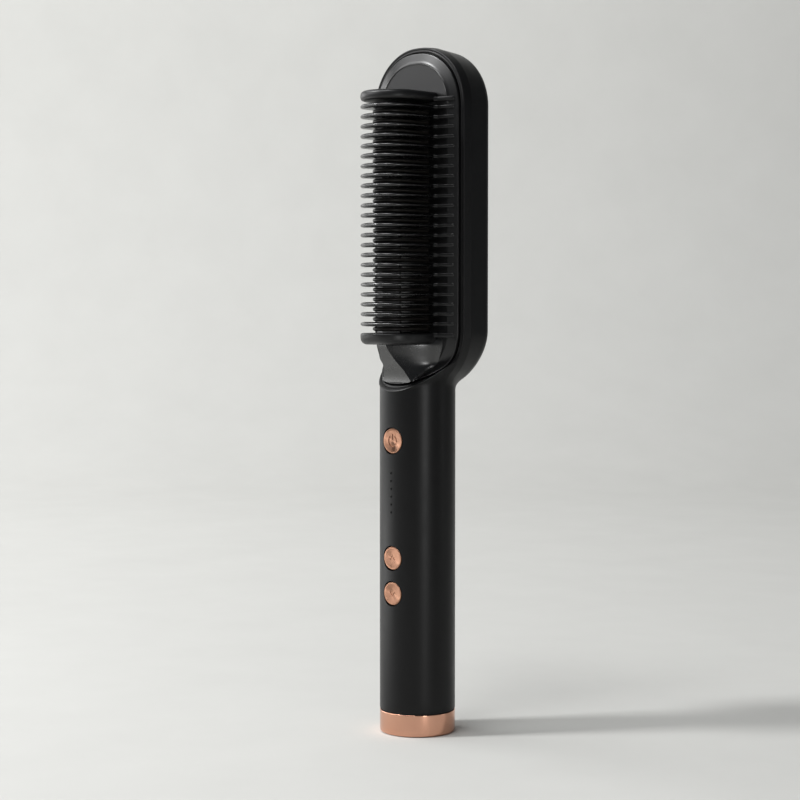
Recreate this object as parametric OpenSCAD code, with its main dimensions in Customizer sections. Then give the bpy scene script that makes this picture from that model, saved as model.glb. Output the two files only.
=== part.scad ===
// Cordless hair straightening brush: a round handle with three push buttons, a stadium-shaped head,
// a cool outer comb and a heated comb whose blades stand between the cool ribs.
// Origin at the centre of the flat end cap, on the handle's axis. +Z runs up the handle, -Y is the comb side.

/* [Handle] */
// Outside diameter of the handle
handle_d = 32; // [31:0.5:34]
// Wall of the handle tube
handle_wall = 2.2; // [1.8:0.1:2.4]
// Height of the front edge where the handle meets the comb
shoulder_z = 145.4; // [144.6:0.2:146]
// Slope of the handle's front shoulder, in degrees
shoulder_slope = 34; // [32:0.5:36]
// Radius of the bend from the shoulder into the head's upright lip
shoulder_bend_r = 9; // [7:0.5:11]
// Radius of the flare that widens the handle into the head
neck_flare_r = 22; // [20:0.5:24]

/* [Head] */
// Full width of the head
head_w = 52.4; // [51:0.2:54]
// How far the centres of the head's corner arcs stand beside its middle line
corner_in = 1.2; // [0.8:0.1:1.6]
// Height of the centres of the head's lower corner arcs
head_low_z = 170.4; // [169.4:0.2:171.4]
// Distance between the centres of the head's lower and upper corner arcs
head_span = 93.5; // [92:0.5:96]
// Where the head's front lip stands, behind the handle's axis
lip_y = 0.4; // [0:0.1:0.8]
// Where the head's back face stands, behind the handle's axis
head_back_y = 19.3; // [18.7:0.1:21]
// Radius of the head's rear edge
head_edge_r = 5; // [4:0.5:6]
// Wall of the head
head_wall = 2; // [1.8:0.1:2.2]
// Depth of the soft crease that runs round the head's side, behind the lip
crease_depth = 4.2; // [3:0.2:6]
// How far the head's side narrows at the lip, from the crease
lip_draft = 0.3; // [0.1:0.1:0.4]
// How far the head's side narrows at the back, from the crease
back_draft = 0.95; // [0.5:0.05:1.2]

/* [Cool comb] */
// Width left between the comb's base plate and the head's lip wall
plate_gap = 0.55; // [0.4:0.05:0.7]
// How far the edge of the base plate stands in front of the lip
plate_edge_rise = 0.9; // [0.6:0.1:1.2]
// How far the flat of the base plate stands in front of its edge
plate_bevel_rise = 1.5; // [1:0.1:2]
// Width of the sloping border of the base plate
plate_bevel_w = 4.5; // [3.5:0.1:5.5]
// Thickness of the base plate
plate_t = 1.8; // [1.5:0.1:2]
// Number of cool ribs between the two end fins
rib_count = 23; // [19:1:23]
// Spacing of the cool ribs
rib_pitch = 4.08; // [3.9:0.02:4.12]
// Width of a cool rib, across the comb
rib_w = 26.4; // [24:0.2:28]
// Reach of a cool rib in front of the handle's axis
rib_reach = 28.6; // [26:0.2:31]
// Thickness of a cool rib at its root
rib_t = 1.1; // [0.9:0.1:1.3]
// Thickness of the swollen front of a cool rib
rib_tip_t = 1.9; // [1.5:0.1:2.1]
// Thickness of the upper end fin
upper_fin_t = 4.1; // [3.4:0.1:4.6]
// Thickness of the lower end fin
lower_fin_t = 4.8; // [4:0.1:5.2]
// Reach of the neck fairing where it meets the lower end fin
fairing_reach = 21.8; // [20.5:0.1:22.5]

/* [Heated comb] */
// Width of a heated blade, across the comb
blade_w = 16; // [14:0.5:17]
// Reach of a heated blade in front of the handle's axis
blade_reach = 23.6; // [21:0.2:25]
// Thickness of a heated blade at its root
blade_t = 1; // [0.8:0.1:1.1]
// Thickness of the swollen front of a heated blade
blade_tip_t = 1.6; // [1.2:0.1:1.7]
// Thickness of the slab behind the blades
slab_t = 2.7; // [2.2:0.1:3.2]
// Thickness of the flat heating element
heater_t = 2.4; // [2:0.1:3]

/* [Buttons] */
// Diameter of the power button's cap
power_cap_d = 10.6; // [10:0.1:11]
// Diameter of the two temperature buttons' caps
small_cap_d = 9.9; // [9.4:0.1:10.4]
// Gap round each button cap
button_gap = 0.35; // [0.25:0.05:0.4]
// How far each button cap sits below the crown of the handle
button_recess = 0.7; // [0.5:0.1:0.9]
// Travel of each button
button_travel = 0.5; // [0.3:0.05:0.5]
// Height of the power button
power_z = 124.3; // [122:0.1:126]
// Height of the upper temperature button
up_z = 75; // [74:0.1:77]
// Height of the lower temperature button
down_z = 60.1; // [58:0.1:61]
// Height of the highest indicator hole
led_top_z = 110.8; // [109:0.1:112]
// Number of indicator holes
led_count = 6; // [4:1:6]
// Spacing of the indicator holes
led_pitch = 3.28; // [3:0.02:3.4]
// Diameter of an indicator hole
led_hole_d = 0.9; // [0.8:0.05:1.1]

/* [End cap] */
// Height of the end cap
cap_h = 9.4; // [9:0.1:10]
// Wall of the end cap
cap_wall = 1.2; // [1:0.1:1.4]
// Floor of the end cap
cap_floor = 1.4; // [1.2:0.1:1.6]
// Radius of the end cap's lower edge
cap_edge_r = 1.2; // [0.8:0.1:1.4]
// Thickness of the gasket ring between the end cap and the handle
gasket_t = 0.5; // [0.4:0.1:0.8]

/* [Battery] */
// Depth kept between the handle wall and the front of the control board, for buttons and switches
front_room = 5.2; // [5:0.1:5.6]
// Length of a battery cell
cell_len = 65; // [63:0.5:65]

/* [Hidden] */

round_fn = 96;
small_fn = 48;
// Overshoot of a cutter past the face that it opens
cut = 0.1;
// Gap between faces that slide or slip into each other
fit_gap = 0.1;
// Gap between fixed neighbours
loose_gap = 0.3;

handle_r = handle_d / 2;
bore_r = handle_r - handle_wall;
handle_z = cap_h + gasket_t;
shoulder_rise = tan(shoulder_slope);

head_r = head_w / 2 - corner_in;
lip_r = head_r - lip_draft;
cavity_r = lip_r - head_wall + 0.1;
cavity_back_r = head_r - back_draft - head_wall;
head_high_z = head_low_z + head_span;
head_mid_z = head_low_z + head_span / 2;
cavity_back_y = head_back_y - head_wall;
crease_y = lip_y + crease_depth;
throat_z = head_low_z - 8;

// Side view of the handle's front shoulder: a slope that bends up into the plane of the head's lip
bend_y = lip_y - shoulder_bend_r;
bend_z = shoulder_z + shoulder_rise * (handle_r + bend_y) + shoulder_bend_r / cos(shoulder_slope);
deck_t = 1.6;
deck_back_y = -10.6;
neck_z = shoulder_z - 1.4;
neck_back_z = shoulder_z + 7;
neck_fillet = 2.2;
bend_steps = 4;
flare_steps = 4;
flare_turn = asin(0.97 * (bend_z - neck_z) / neck_flare_r);

// Shelf inside the head on which the base plate of the comb rests
shelf_y = lip_y + 0.8;
shelf_t = 1.5;
shelf_r = cavity_r - 1.5;

plate_r = cavity_r - plate_gap;
plate_edge_y = lip_y - plate_edge_rise;
plate_flat_y = plate_edge_y - plate_bevel_rise;
plate_back_y = plate_flat_y + plate_t;
plate_flat_r = plate_r - plate_bevel_w;
skirt_r = shelf_r - 0.4;
skirt_t = 1.4;
skirt_depth = 5.5;
hook_y = shelf_y + shelf_t + fit_gap;
hook_w = 6;
hook_r = skirt_r + 0.9;
hook_span = 32;

rib_r = rib_w / 2;
rib_zone = (rib_count - 1) * rib_pitch;
rib_low_z = head_mid_z + 0.85 - rib_zone / 2;
rib_high_z = rib_low_z + rib_zone;
rib_swell = 4;
rib_neck = 9.5;
foot_w = 8.6;
foot_reach = 2.6;
foot_tail = 1.5;
upper_fin_z = rib_high_z + rib_pitch - 1.7;
upper_fin_edge_r = 2;
lower_fin_z = rib_low_z - rib_pitch + 0.3 - lower_fin_t;
lower_fin_edge_r = 2.5;
lower_fin_run = 7;
lower_fin_rise = 3.7;
fin_corner_r = 0.8;

fairing_rise = lower_fin_z - shoulder_z;
// Levels of the neck fairing: height, half width of the front facet, reach of the facet, half width of the root
fairing_levels = [
  [shoulder_z + 0.1 * fairing_rise, 7.3, 0.57 * fairing_reach, 9.6],
  [shoulder_z + 0.42 * fairing_rise, 5.9, 0.655 * fairing_reach, 12.4],
  [shoulder_z + 0.71 * fairing_rise, 3.6, 0.845 * fairing_reach, 15],
  [lower_fin_z, 2.4, fairing_reach, 17],
];
fairing_wall = 1.8;

blade_r = blade_w / 2;
blade_swell = 3;
blade_neck = 7;
window_half = blade_r + 0.7;
window_low_z = lower_fin_z + lower_fin_t;
window_high_z = upper_fin_z;
slab_front_y = plate_back_y + fit_gap;
slab_back_y = slab_front_y + slab_t;
slab_half = 13;
slab_margin = 2.4;
slab_low_z = window_low_z - slab_margin;
slab_high_z = window_high_z + slab_margin;

element_half = 7;
element_len = 74;
element_back_y = slab_back_y + heater_t;
mica_t = 0.4;
mica_back_y = element_back_y + mica_t;
clamp_t = 0.8;
clamp_half = 8.4;
clamp_back_y = mica_back_y + clamp_t;
clamp_boss_r = 3;
clamp_tab = 6.5;
clamp_screw_span = element_len + 2 * clamp_tab;
sensor_x = 10.7;
fuse_r = 1.6;
fuse_len = 11;
thermistor_r = 1.2;
thermistor_len = 6;

shield_wall = 1.2;
shield_half = slab_half + 0.2 + shield_wall;
shield_front_y = plate_back_y + 0.2;
shield_back_y = clamp_back_y + 4.4;
shield_end = 1.2;
shield_low_z = slab_low_z - 0.2 - shield_end;
shield_high_z = slab_high_z + 0.2 + shield_end;
shield_post = 3.4;
ear_x = shield_half + 2.5;
ear_r = 2.8;
ear_t = 1.6;
ear_span = 78;
ear_y = plate_back_y + 0.8;
guard_boss_r = 2.4;

// Machine screws: radius of the shank, of the clearance hole and of the head
screw_r = 1;
screw_hole_r = 1.1;
pilot_r = 1.05;
screw_head_r = 1.9;
screw_head_h = 1.3;

cell_gap = 0.4;
web_t = 1.4;
standoff_h = 0.8;
standoff_r = 2;
board_t = 1;
// A cell takes the depth that the wall, the buttons, the board and the chassis web leave
cell_r = bore_r - cell_gap - (front_room + board_t + standoff_h + web_t) / 2;
cell_y = bore_r - cell_r - cell_gap;
contact_t = 0.4;
contact_r = 5;
plug_top_z = cap_h + 6.6;
chassis_plate_t = 1.6;
lower_contact_z = plug_top_z + chassis_plate_t;
lower_cell_z = lower_contact_z + contact_t;
link_z = lower_cell_z + cell_len;
upper_cell_z = link_z + contact_t;
upper_contact_z = upper_cell_z + cell_len;
chassis_top_z = upper_contact_z + contact_t + chassis_plate_t;
web_back_y = cell_y - cell_r - cell_gap;
web_front_y = web_back_y - web_t;
rail_in = cell_r + cell_gap;
rail_out = rail_in + 1.4;
rail_back_y = 7;
chassis_r = bore_r - loose_gap;

board_back_y = web_front_y - standoff_h;
board_front_y = board_back_y - board_t;
board_side_gap = 1;
board_half = sqrt(pow(bore_r, 2) - pow(board_front_y, 2)) - board_side_gap;
board_low_z = 44;
board_high_z = 142;
board_screw_x = board_half - 2.8;
board_screw_inset = 4.5;

switch_w = 5.2;
switch_h = 1.7;
switch_front_y = board_front_y - switch_h;
plunger_r = 1.2;
plunger_proud = 0.7;
plunger_tip_y = switch_front_y - plunger_proud;
plunger_sunk = 1;
stem_r = 2;
flange_lap = 0.9;
flange_t = 0.8;
button_face_y = -handle_r + button_recess;
dish_depth = 0.25;
button_edge = 0.35;
mark_depth = 0.12;
mark_w = 0.5;

led_low_z = led_top_z - (led_count - 1) * led_pitch;
led_mid_z = (led_low_z + led_top_z) / 2;
led_size = [1.6, 0.6, 0.8];
chip_w = 5;
chip_t = 1;
chip_x = board_half - 4.5;
guide_half = 1.3;
guide_end = 2;
guide_foot = 1.4;
guide_front_y = -sqrt(pow(bore_r, 2) - pow(guide_half, 2)) + fit_gap;
guide_back_y = board_front_y - led_size[1] - 0.4;
guide_pin_r = led_hole_d / 2 - 0.07;
guide_pin_y = -handle_r + 0.15;

lead_r = 0.6;
heater_lead_x = 4.2;
heater_lead_y = slab_back_y + heater_t / 2;
lead_y = board_back_y - board_t / 2;
heater_lead_turn_z = lower_fin_z - 10.2;
heater_lead_rise = 7;
charge_lead_x = 4;

cap_r = handle_r;
cap_bore_r = cap_r - cap_wall;
plug_low_r = cap_bore_r - fit_gap;
plug_high_r = bore_r - fit_gap;
plug_bore_r = plug_high_r - 1.4;
plug_floor = 1.2;
plug_floor_z = cap_floor + plug_floor;
ledge_r = plug_bore_r - 1.6;
charge_board_t = 1.2;
charge_board_z = cap_h - charge_board_t;
post_x = bore_r - 4.6;
post_y = web_back_y + 2.4;
post_r = 2.6;
port_w = 8.94;
port_h = 3.26;
port_z = 0.8;
port_wall = 0.3;
port_gap = 0.2;
port_back = 1.2;
tongue_w = 6.7;
tongue_t = 0.7;
port_mouth = 1.2;
gasket_in = 0.3;
gasket_lip = 0.3;
chassis_screw_sink = 2;
chassis_screw_bite = 6;

// Half section of the head's outside, as radius and depth: lip, crease, drafted side, round rear edge
module head_section() {
  back_r = head_r - back_draft;
  polygon([
    [0, lip_y],
    [lip_r, lip_y],
    [head_r, crease_y],
    [back_r, head_back_y - head_edge_r],
    [0, head_back_y - head_edge_r],
  ]);
  translate([0, lip_y])
    square([back_r - head_edge_r, head_back_y - lip_y]);
  translate([back_r - head_edge_r, head_back_y - head_edge_r])
    circle(head_edge_r, $fn = round_fn);
}

// Half section of the head's hollow, open at the lip and clear of the handle's shoulder in front of it
module cavity_section() {
  edge_r = head_edge_r - head_wall;
  polygon([
    [0, -handle_d],
    [cavity_r, -handle_d],
    [cavity_r, lip_y + cut],
    [cavity_back_r, cavity_back_y - edge_r],
    [0, cavity_back_y - edge_r],
  ]);
  translate([0, lip_y])
    square([cavity_back_r - edge_r, cavity_back_y - lip_y]);
  translate([cavity_back_r - edge_r, cavity_back_y - edge_r])
    circle(edge_r, $fn = round_fn);
}

// Ring section at one radius range and depth range
module ring_section(inner, outer, front, back) {
  translate([inner, front])
    square([outer - inner, back - front]);
}

// Half section carried once round the head's outline: straight sides, flat ends and four quarter turns.
// A filled section also covers the middle.
module head_loop(filled) {
  for (side = [0, 1])
    mirror([side, 0, 0]) {
      translate([0, 0, head_low_z])
        linear_extrude(head_span) {
          translate([corner_in, 0])
            children();
          if (filled)
            translate([-corner_in, 0])
              children();
        }
      translate([corner_in, 0, head_high_z])
        rotate([-90, -90, 0])
          rotate_extrude(angle = 90, $fn = round_fn)
            children();
      translate([corner_in, 0, head_low_z])
        rotate([-90, 0, 0])
          rotate_extrude(angle = 90, $fn = round_fn)
            children();
    }
  for (end = [0, 1])
    translate([0, 0, end == 1 ? head_high_z : head_low_z])
      mirror([0, 0, 1 - end])
        translate([-corner_in, 0, 0])
          rotate([0, -90, 180])
            mirror([0, 1, 0])
              linear_extrude(2 * corner_in)
                children();
}

// Plain prism inside the head's outline at one radius, between two depths
module outline_prism(r, front, back) {
  head_loop(true)
    ring_section(0, r, front, back);
}

// Puts children, drawn with their own Z as the forward direction, at a height on the handle
module facing_front(z) {
  translate([0, 0, z])
    rotate([90, 0, 0])
      children();
}

// Cylinder along Y between two depths
module pin_y(x, z, front, back, r) {
  translate([x, back, z])
    rotate([90, 0, 0])
      cylinder(r = r, h = back - front, $fn = small_fn);
}

// Runs a side view, drawn in depth and height, across the full width of the head
module across() {
  translate([-head_w, 0, 0])
    rotate([90, 0, 90])
      linear_extrude(2 * head_w)
        children();
}

// Side view of the space in front of the handle's shoulder and the head's lip, kept clear by a gap
module shoulder_side(gap) {
  r = shoulder_bend_r - gap;
  foot_angle = shoulder_slope - 90;
  reach = 3 * handle_d;
  foot = [bend_y + r * cos(foot_angle), bend_z + r * sin(foot_angle)];
  polygon([
    foot - reach * [cos(shoulder_slope), sin(shoulder_slope)],
    for (i = [0:bend_steps])
      [bend_y, bend_z] + r * [cos(foot_angle * (1 - i / bend_steps)), sin(foot_angle * (1 - i / bend_steps))],
    [bend_y + r, bend_z + head_span + head_w],
    [foot[0] - reach, bend_z + head_span + head_w],
  ]);
}

// Takes away what would stand behind the shoulder below its bend
module clear_of_shoulder(gap) {
  difference() {
    children();
    difference() {
      translate([-head_w, -2 * handle_d, bend_z - 3 * head_w])
        cube([2 * head_w, 4 * handle_d, 3 * head_w]);
      across()
        shoulder_side(gap);
    }
  }
}

module button_hole(z, cap_d) {
  pin_y(0, z, -handle_r - cut, -bore_r / 2, cap_d / 2 + button_gap);
}

module tube() {
  translate([0, 0, handle_z])
    cylinder(r = handle_r, h = neck_back_z - handle_z, $fn = round_fn);
}

// Front view of the neck: handle, head outline and the fillets between them
module neck_front_view() {
  corner_z = head_low_z - sqrt(pow(lip_r, 2) - pow(handle_r - corner_in, 2));
  fillet_x = corner_in + sqrt(pow(lip_r, 2) - pow(head_low_z - corner_z - neck_fillet, 2));
  for (side = [0, 1])
    mirror([side, 0]) {
      translate([0, neck_z - cut])
        square([handle_r, bend_z - neck_z + cut]);
      translate([corner_in, head_low_z])
        circle(lip_r, $fn = round_fn);
      polygon([
        [0, corner_z - neck_fillet],
        [handle_r, corner_z - neck_fillet],
        [fillet_x, corner_z + neck_fillet],
        [0, corner_z + neck_fillet],
      ]);
    }
}

// Flared neck that carries the rim round the foot of the comb and blends the handle into the head
module neck() {
  intersection() {
    translate([0, 0, neck_z])
      rotate_extrude($fn = round_fn)
        polygon([
          [0, 0],
          for (i = [0:flare_steps])
            [handle_r + neck_flare_r * (1 - cos(flare_turn * i / flare_steps)),
              neck_flare_r * sin(flare_turn * i / flare_steps)],
          [handle_r + neck_flare_r, bend_z - neck_z],
          [0, bend_z - neck_z],
        ]);
    translate([0, head_back_y, 0])
      rotate([90, 0, 0])
        linear_extrude(head_back_y + handle_r + neck_flare_r)
          neck_front_view();
    across()
      polygon([
        [-handle_d, neck_z],
        [handle_r + cut, neck_z],
        [handle_r + cut, neck_back_z],
        [lip_y + cut, neck_back_z],
        [lip_y + cut, bend_z],
        [-handle_d, bend_z],
      ]);
  }
}

// Front part of the handle's end wall, between its edge and the foot of the comb
module deck() {
  difference() {
    intersection() {
      translate([0, 0, shoulder_z - handle_r])
        cylinder(r = bore_r + cut, h = 2 * handle_r, $fn = round_fn);
      across()
        difference() {
          translate([0, -deck_t / cos(shoulder_slope)])
            polygon([
              [-handle_r, shoulder_z],
              [deck_back_y, shoulder_z + shoulder_rise * (handle_r + deck_back_y)],
              [deck_back_y, bend_z],
              [-handle_r, bend_z],
            ]);
          shoulder_side(0);
        }
    }
    head_loop(true)
      cavity_section();
  }
}

module housing_shell() {
  difference() {
    union() {
      head_loop(true)
        head_section();
      difference() {
        union() {
          tube();
          neck();
        }
        across()
          shoulder_side(0);
      }
    }
    head_loop(true)
      cavity_section();
  }
  head_loop(false)
    ring_section(shelf_r, cavity_r + cut, shelf_y, shelf_y + shelf_t);
}

module housing() {
  color("#1d1d1e") {
    difference() {
      housing_shell();
      translate([0, 0, handle_z - cut])
        cylinder(r = bore_r, h = throat_z - handle_z, $fn = round_fn);
      button_hole(power_z, power_cap_d);
      button_hole(up_z, small_cap_d);
      button_hole(down_z, small_cap_d);
      for (i = [0:led_count - 1])
        pin_y(0, led_top_z - i * led_pitch, -handle_r - cut, -bore_r / 2, led_hole_d / 2);
    }
    deck();
  }
}

// Plan of a fin: round front, straight sides and feet that spread over the base plate
module fin_plan(half, reach, back, feet) {
  translate([0, -reach + half])
    circle(half, $fn = round_fn);
  translate([-half, -reach + half])
    square([2 * half, reach - half + back]);
  if (feet)
    for (side = [-1, 1])
      scale([side, 1])
        polygon([
          [half - cut, plate_flat_y - foot_reach],
          [half + 1.2, plate_flat_y - 1.2],
          [half + foot_w - foot_tail, plate_flat_y - 0.1],
          [half + foot_w, plate_flat_y + 0.7],
          [half + foot_w, plate_back_y - 0.4],
          [half - cut, plate_back_y - 0.4],
        ]);
}

// Side view of a fin: a thin web that swells towards a rounded front
module fin_side(reach, swell, neck, root_t, tip_t, back) {
  polygon([
    [-reach, 0.25 * tip_t],
    [-reach + 0.25 * swell, 0.42 * tip_t],
    [-reach + 0.6 * swell, 0.5 * tip_t],
    [-reach + swell, 0.5 * tip_t],
    [-reach + neck, 0.5 * root_t],
    [back, 0.5 * root_t],
    [back, -0.5 * root_t],
    [-reach + neck, -0.5 * root_t],
    [-reach + swell, -0.5 * tip_t],
    [-reach + 0.6 * swell, -0.5 * tip_t],
    [-reach + 0.25 * swell, -0.42 * tip_t],
    [-reach, -0.25 * tip_t],
  ]);
}

module rib_row() {
  intersection() {
    translate([0, 0, rib_low_z - rib_pitch / 2])
      linear_extrude(rib_zone + rib_pitch)
        fin_plan(rib_r, rib_reach, plate_flat_y + cut, true);
    across()
      for (i = [0:rib_count - 1])
        translate([0, rib_low_z + i * rib_pitch])
          fin_side(rib_reach, rib_swell, rib_neck, rib_t, rib_tip_t, plate_back_y);
  }
}

// Half section of an end fin, as radius and height, with its own radius on the lower and on the upper edge
module end_fin_section(t, low_edge_r, high_edge_r) {
  intersection() {
    square([rib_r, t]);
    union() {
      square([rib_r - low_edge_r, t]);
      translate([0, low_edge_r])
        square([rib_r, t]);
      translate([rib_r - low_edge_r, low_edge_r])
        circle(low_edge_r, $fn = small_fn);
    }
    union() {
      square([rib_r - high_edge_r, t]);
      translate([0, -high_edge_r])
        square([rib_r, t]);
      translate([rib_r - high_edge_r, t - high_edge_r])
        circle(high_edge_r, $fn = small_fn);
    }
  }
}

// Side view of the lower end fin, whose underside rises towards the tip
module lower_fin_side() {
  polygon([
    for (a = [0:15:90])
      [-rib_reach + lower_fin_run * (1 - cos(a)), lower_fin_rise * (1 - sin(a))],
    [plate_back_y, 0],
    [plate_back_y, lower_fin_t],
    [-rib_reach, lower_fin_t],
  ]);
}

// Thick fin at one end of the comb: the section turned round the front and run back to the plate
module end_fin(z) {
  centre_y = -rib_reach + rib_r;
  translate([0, centre_y, z])
    rotate([0, 0, 180])
      rotate_extrude(angle = 180, $fn = round_fn)
        children();
  translate([0, plate_flat_y + cut, z])
    rotate([90, 0, 0])
      linear_extrude(plate_flat_y + cut - centre_y) {
        children();
        mirror([1, 0])
          children();
      }
}

// Low feet that carry an end fin's root sideways over the plate
module end_fin_feet(z, t) {
  difference() {
    translate([0, 0, z])
      linear_extrude(t)
        fin_plan(rib_r, rib_reach, plate_flat_y + cut, true);
    translate([-rib_r + cut, -rib_reach - cut, z - cut])
      cube([2 * (rib_r - cut), rib_reach + plate_flat_y + 2 * cut, t + 2 * cut]);
    translate([-head_w, -rib_reach - cut, z - cut])
      cube([2 * head_w, rib_reach + plate_flat_y - foot_reach, t + 2 * cut]);
  }
}

// Base plate with its sloping border and its edge
module plate_section() {
  polygon([
    [0, plate_flat_y],
    [plate_flat_r, plate_flat_y],
    [plate_r, plate_edge_y],
    [plate_r, plate_back_y],
    [0, plate_back_y],
  ]);
}

// Rim and skirt behind the plate: the rim rests on the shelf and the skirt stands inside it
module skirt_section() {
  polygon([
    [skirt_r - skirt_t, plate_back_y - cut],
    [plate_r, plate_back_y - cut],
    [plate_r, shelf_y],
    [skirt_r, shelf_y],
    [skirt_r, skirt_depth],
    [skirt_r - skirt_t, skirt_depth],
  ]);
}

// One level of the neck fairing: a flat front facet with flanks that spread to the base plate
module fairing_level(z, half, reach, root_half, back) {
  translate([0, 0, z])
    linear_extrude(fit_gap)
      polygon([
        [-half, -reach],
        [half, -reach],
        [root_half, back],
        [-root_half, back],
      ]);
}

module fairing_outside() {
  for (i = [0:len(fairing_levels) - 2])
    hull()
      for (level = [fairing_levels[i], fairing_levels[i + 1]])
        fairing_level(level[0], level[1], level[2], level[3], plate_flat_y + 1);
}

module fairing_inside() {
  for (i = [0:len(fairing_levels) - 2])
    hull()
      for (level = [fairing_levels[i], fairing_levels[i + 1]])
        fairing_level(level[0] - fairing_wall, max(level[1] - fairing_wall / 2, 0.6), level[2] - 1.4 * fairing_wall,
          level[3] - 1.5 * fairing_wall, skirt_depth);
}

// Sheet of the base plate that follows the shoulder down to the foot of the fairing, as proud as the plate's edge
module shoulder_sheet() {
  difference() {
    intersection() {
      outline_prism(plate_r, -rib_reach, lip_y);
      translate([-head_w, -handle_d, shoulder_z])
        cube([2 * head_w, 2 * handle_d, bend_z - shoulder_z + 1]);
    }
    across()
      shoulder_side(plate_edge_rise);
  }
}

module snap_hooks() {
  for (side = [-1, 1], i = [-1:1])
    scale([side, 1, 1])
      translate([corner_in + skirt_r - skirt_t / 2, hook_y, head_mid_z + i * hook_span - hook_w / 2])
        cube([hook_r - skirt_r + skirt_t / 2, 1, hook_w]);
}

module guard_boss_places() {
  for (side = [-1, 1], end = [-1, 1])
    translate([side * ear_x, 0, head_mid_z + end * ear_span / 2])
      children();
}

module comb_guard() {
  color("#242425")
    difference() {
      clear_of_shoulder(plate_edge_rise - plate_t) {
        difference() {
          union() {
            head_loop(true)
              plate_section();
            head_loop(false)
              skirt_section();
            shoulder_sheet();
            intersection() {
              fairing_outside();
              outline_prism(plate_r, -rib_reach, plate_back_y);
            }
            snap_hooks();
          }
          fairing_inside();
          translate([-window_half, plate_flat_y - cut, window_low_z])
            cube([2 * window_half, plate_t + 2 * cut, window_high_z - window_low_z]);
        }
        rib_row();
        end_fin(upper_fin_z)
          end_fin_section(upper_fin_t, fin_corner_r, upper_fin_edge_r);
        end_fin_feet(upper_fin_z, upper_fin_t - upper_fin_edge_r);
        intersection() {
          end_fin(lower_fin_z)
            end_fin_section(lower_fin_t, lower_fin_edge_r, fin_corner_r / 2);
          translate([0, 0, lower_fin_z])
            across()
              lower_fin_side();
        }
        end_fin_feet(lower_fin_z + lower_fin_edge_r, lower_fin_t - lower_fin_edge_r);
        guard_boss_places()
          pin_y(0, 0, plate_back_y - cut, ear_y, guard_boss_r);
      }
      guard_boss_places()
        pin_y(0, 0, plate_flat_y + 0.8, ear_y + cut, pilot_r);
    }
}

module heated_comb() {
  color("#2b2b2d")
    difference() {
      union() {
        translate([-slab_half, slab_front_y, slab_low_z])
          cube([2 * slab_half, slab_t, slab_high_z - slab_low_z]);
        translate([-window_half + loose_gap, plate_flat_y + loose_gap, window_low_z + loose_gap])
          cube([2 * (window_half - loose_gap), slab_front_y - plate_flat_y,
            window_high_z - window_low_z - 2 * loose_gap]);
        for (end = [-1, 1])
          pin_y(0, head_mid_z + end * clamp_screw_span / 2, slab_back_y - cut, mica_back_y, clamp_boss_r);
        intersection() {
          translate([0, 0, window_low_z])
            linear_extrude(window_high_z - window_low_z)
              fin_plan(blade_r, blade_reach, slab_front_y, false);
          across()
            for (i = [0:rib_count - 1])
              translate([0, rib_low_z + (i - 0.5) * rib_pitch])
                fin_side(blade_reach, blade_swell, blade_neck, blade_t, blade_tip_t, slab_front_y);
        }
      }
      for (end = [-1, 1])
        pin_y(0, head_mid_z + end * clamp_screw_span / 2, slab_front_y + 0.6, mica_back_y + cut, pilot_r);
    }
}

module heating_element() {
  color("#c9c5bb")
    translate([-element_half, slab_back_y, head_mid_z - element_len / 2])
      cube([2 * element_half, heater_t, element_len]);
}

module mica_sheet() {
  color("#b9a27a")
    translate([-element_half - 1, element_back_y, head_mid_z - element_len / 2 - 1])
      cube([2 * element_half + 2, mica_t, element_len + 2]);
}

module element_clamp() {
  clamp_len = clamp_screw_span + 2 * clamp_boss_r;
  color("#a9abad")
    difference() {
      translate([-clamp_half, mica_back_y, head_mid_z - clamp_len / 2])
        cube([2 * clamp_half, clamp_t, clamp_len]);
      for (end = [-1, 1])
        pin_y(0, head_mid_z + end * clamp_screw_span / 2, mica_back_y - cut, clamp_back_y + cut, screw_hole_r);
    }
}

// Round-headed screw along Y: head behind, shank reaching forward
module screw_y(x, z, seat_y, shank) {
  pin_y(x, z, seat_y, seat_y + screw_head_h, screw_head_r);
  pin_y(x, z, seat_y - shank, seat_y, screw_r);
}

module clamp_screws() {
  color("#b5b5b3")
    for (end = [-1, 1])
      screw_y(0, head_mid_z + end * clamp_screw_span / 2, clamp_back_y, clamp_t + mica_t + heater_t + 1);
}

module thermal_fuse() {
  color("#c8c8c6")
    translate([sensor_x, slab_back_y + fuse_r, head_mid_z - fuse_len / 2])
      cylinder(r = fuse_r, h = fuse_len, $fn = small_fn);
}

module thermistor() {
  color("#a4532e")
    translate([-sensor_x, slab_back_y + thermistor_r, head_mid_z - thermistor_len / 2])
      cylinder(r = thermistor_r, h = thermistor_len, $fn = small_fn);
}

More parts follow.
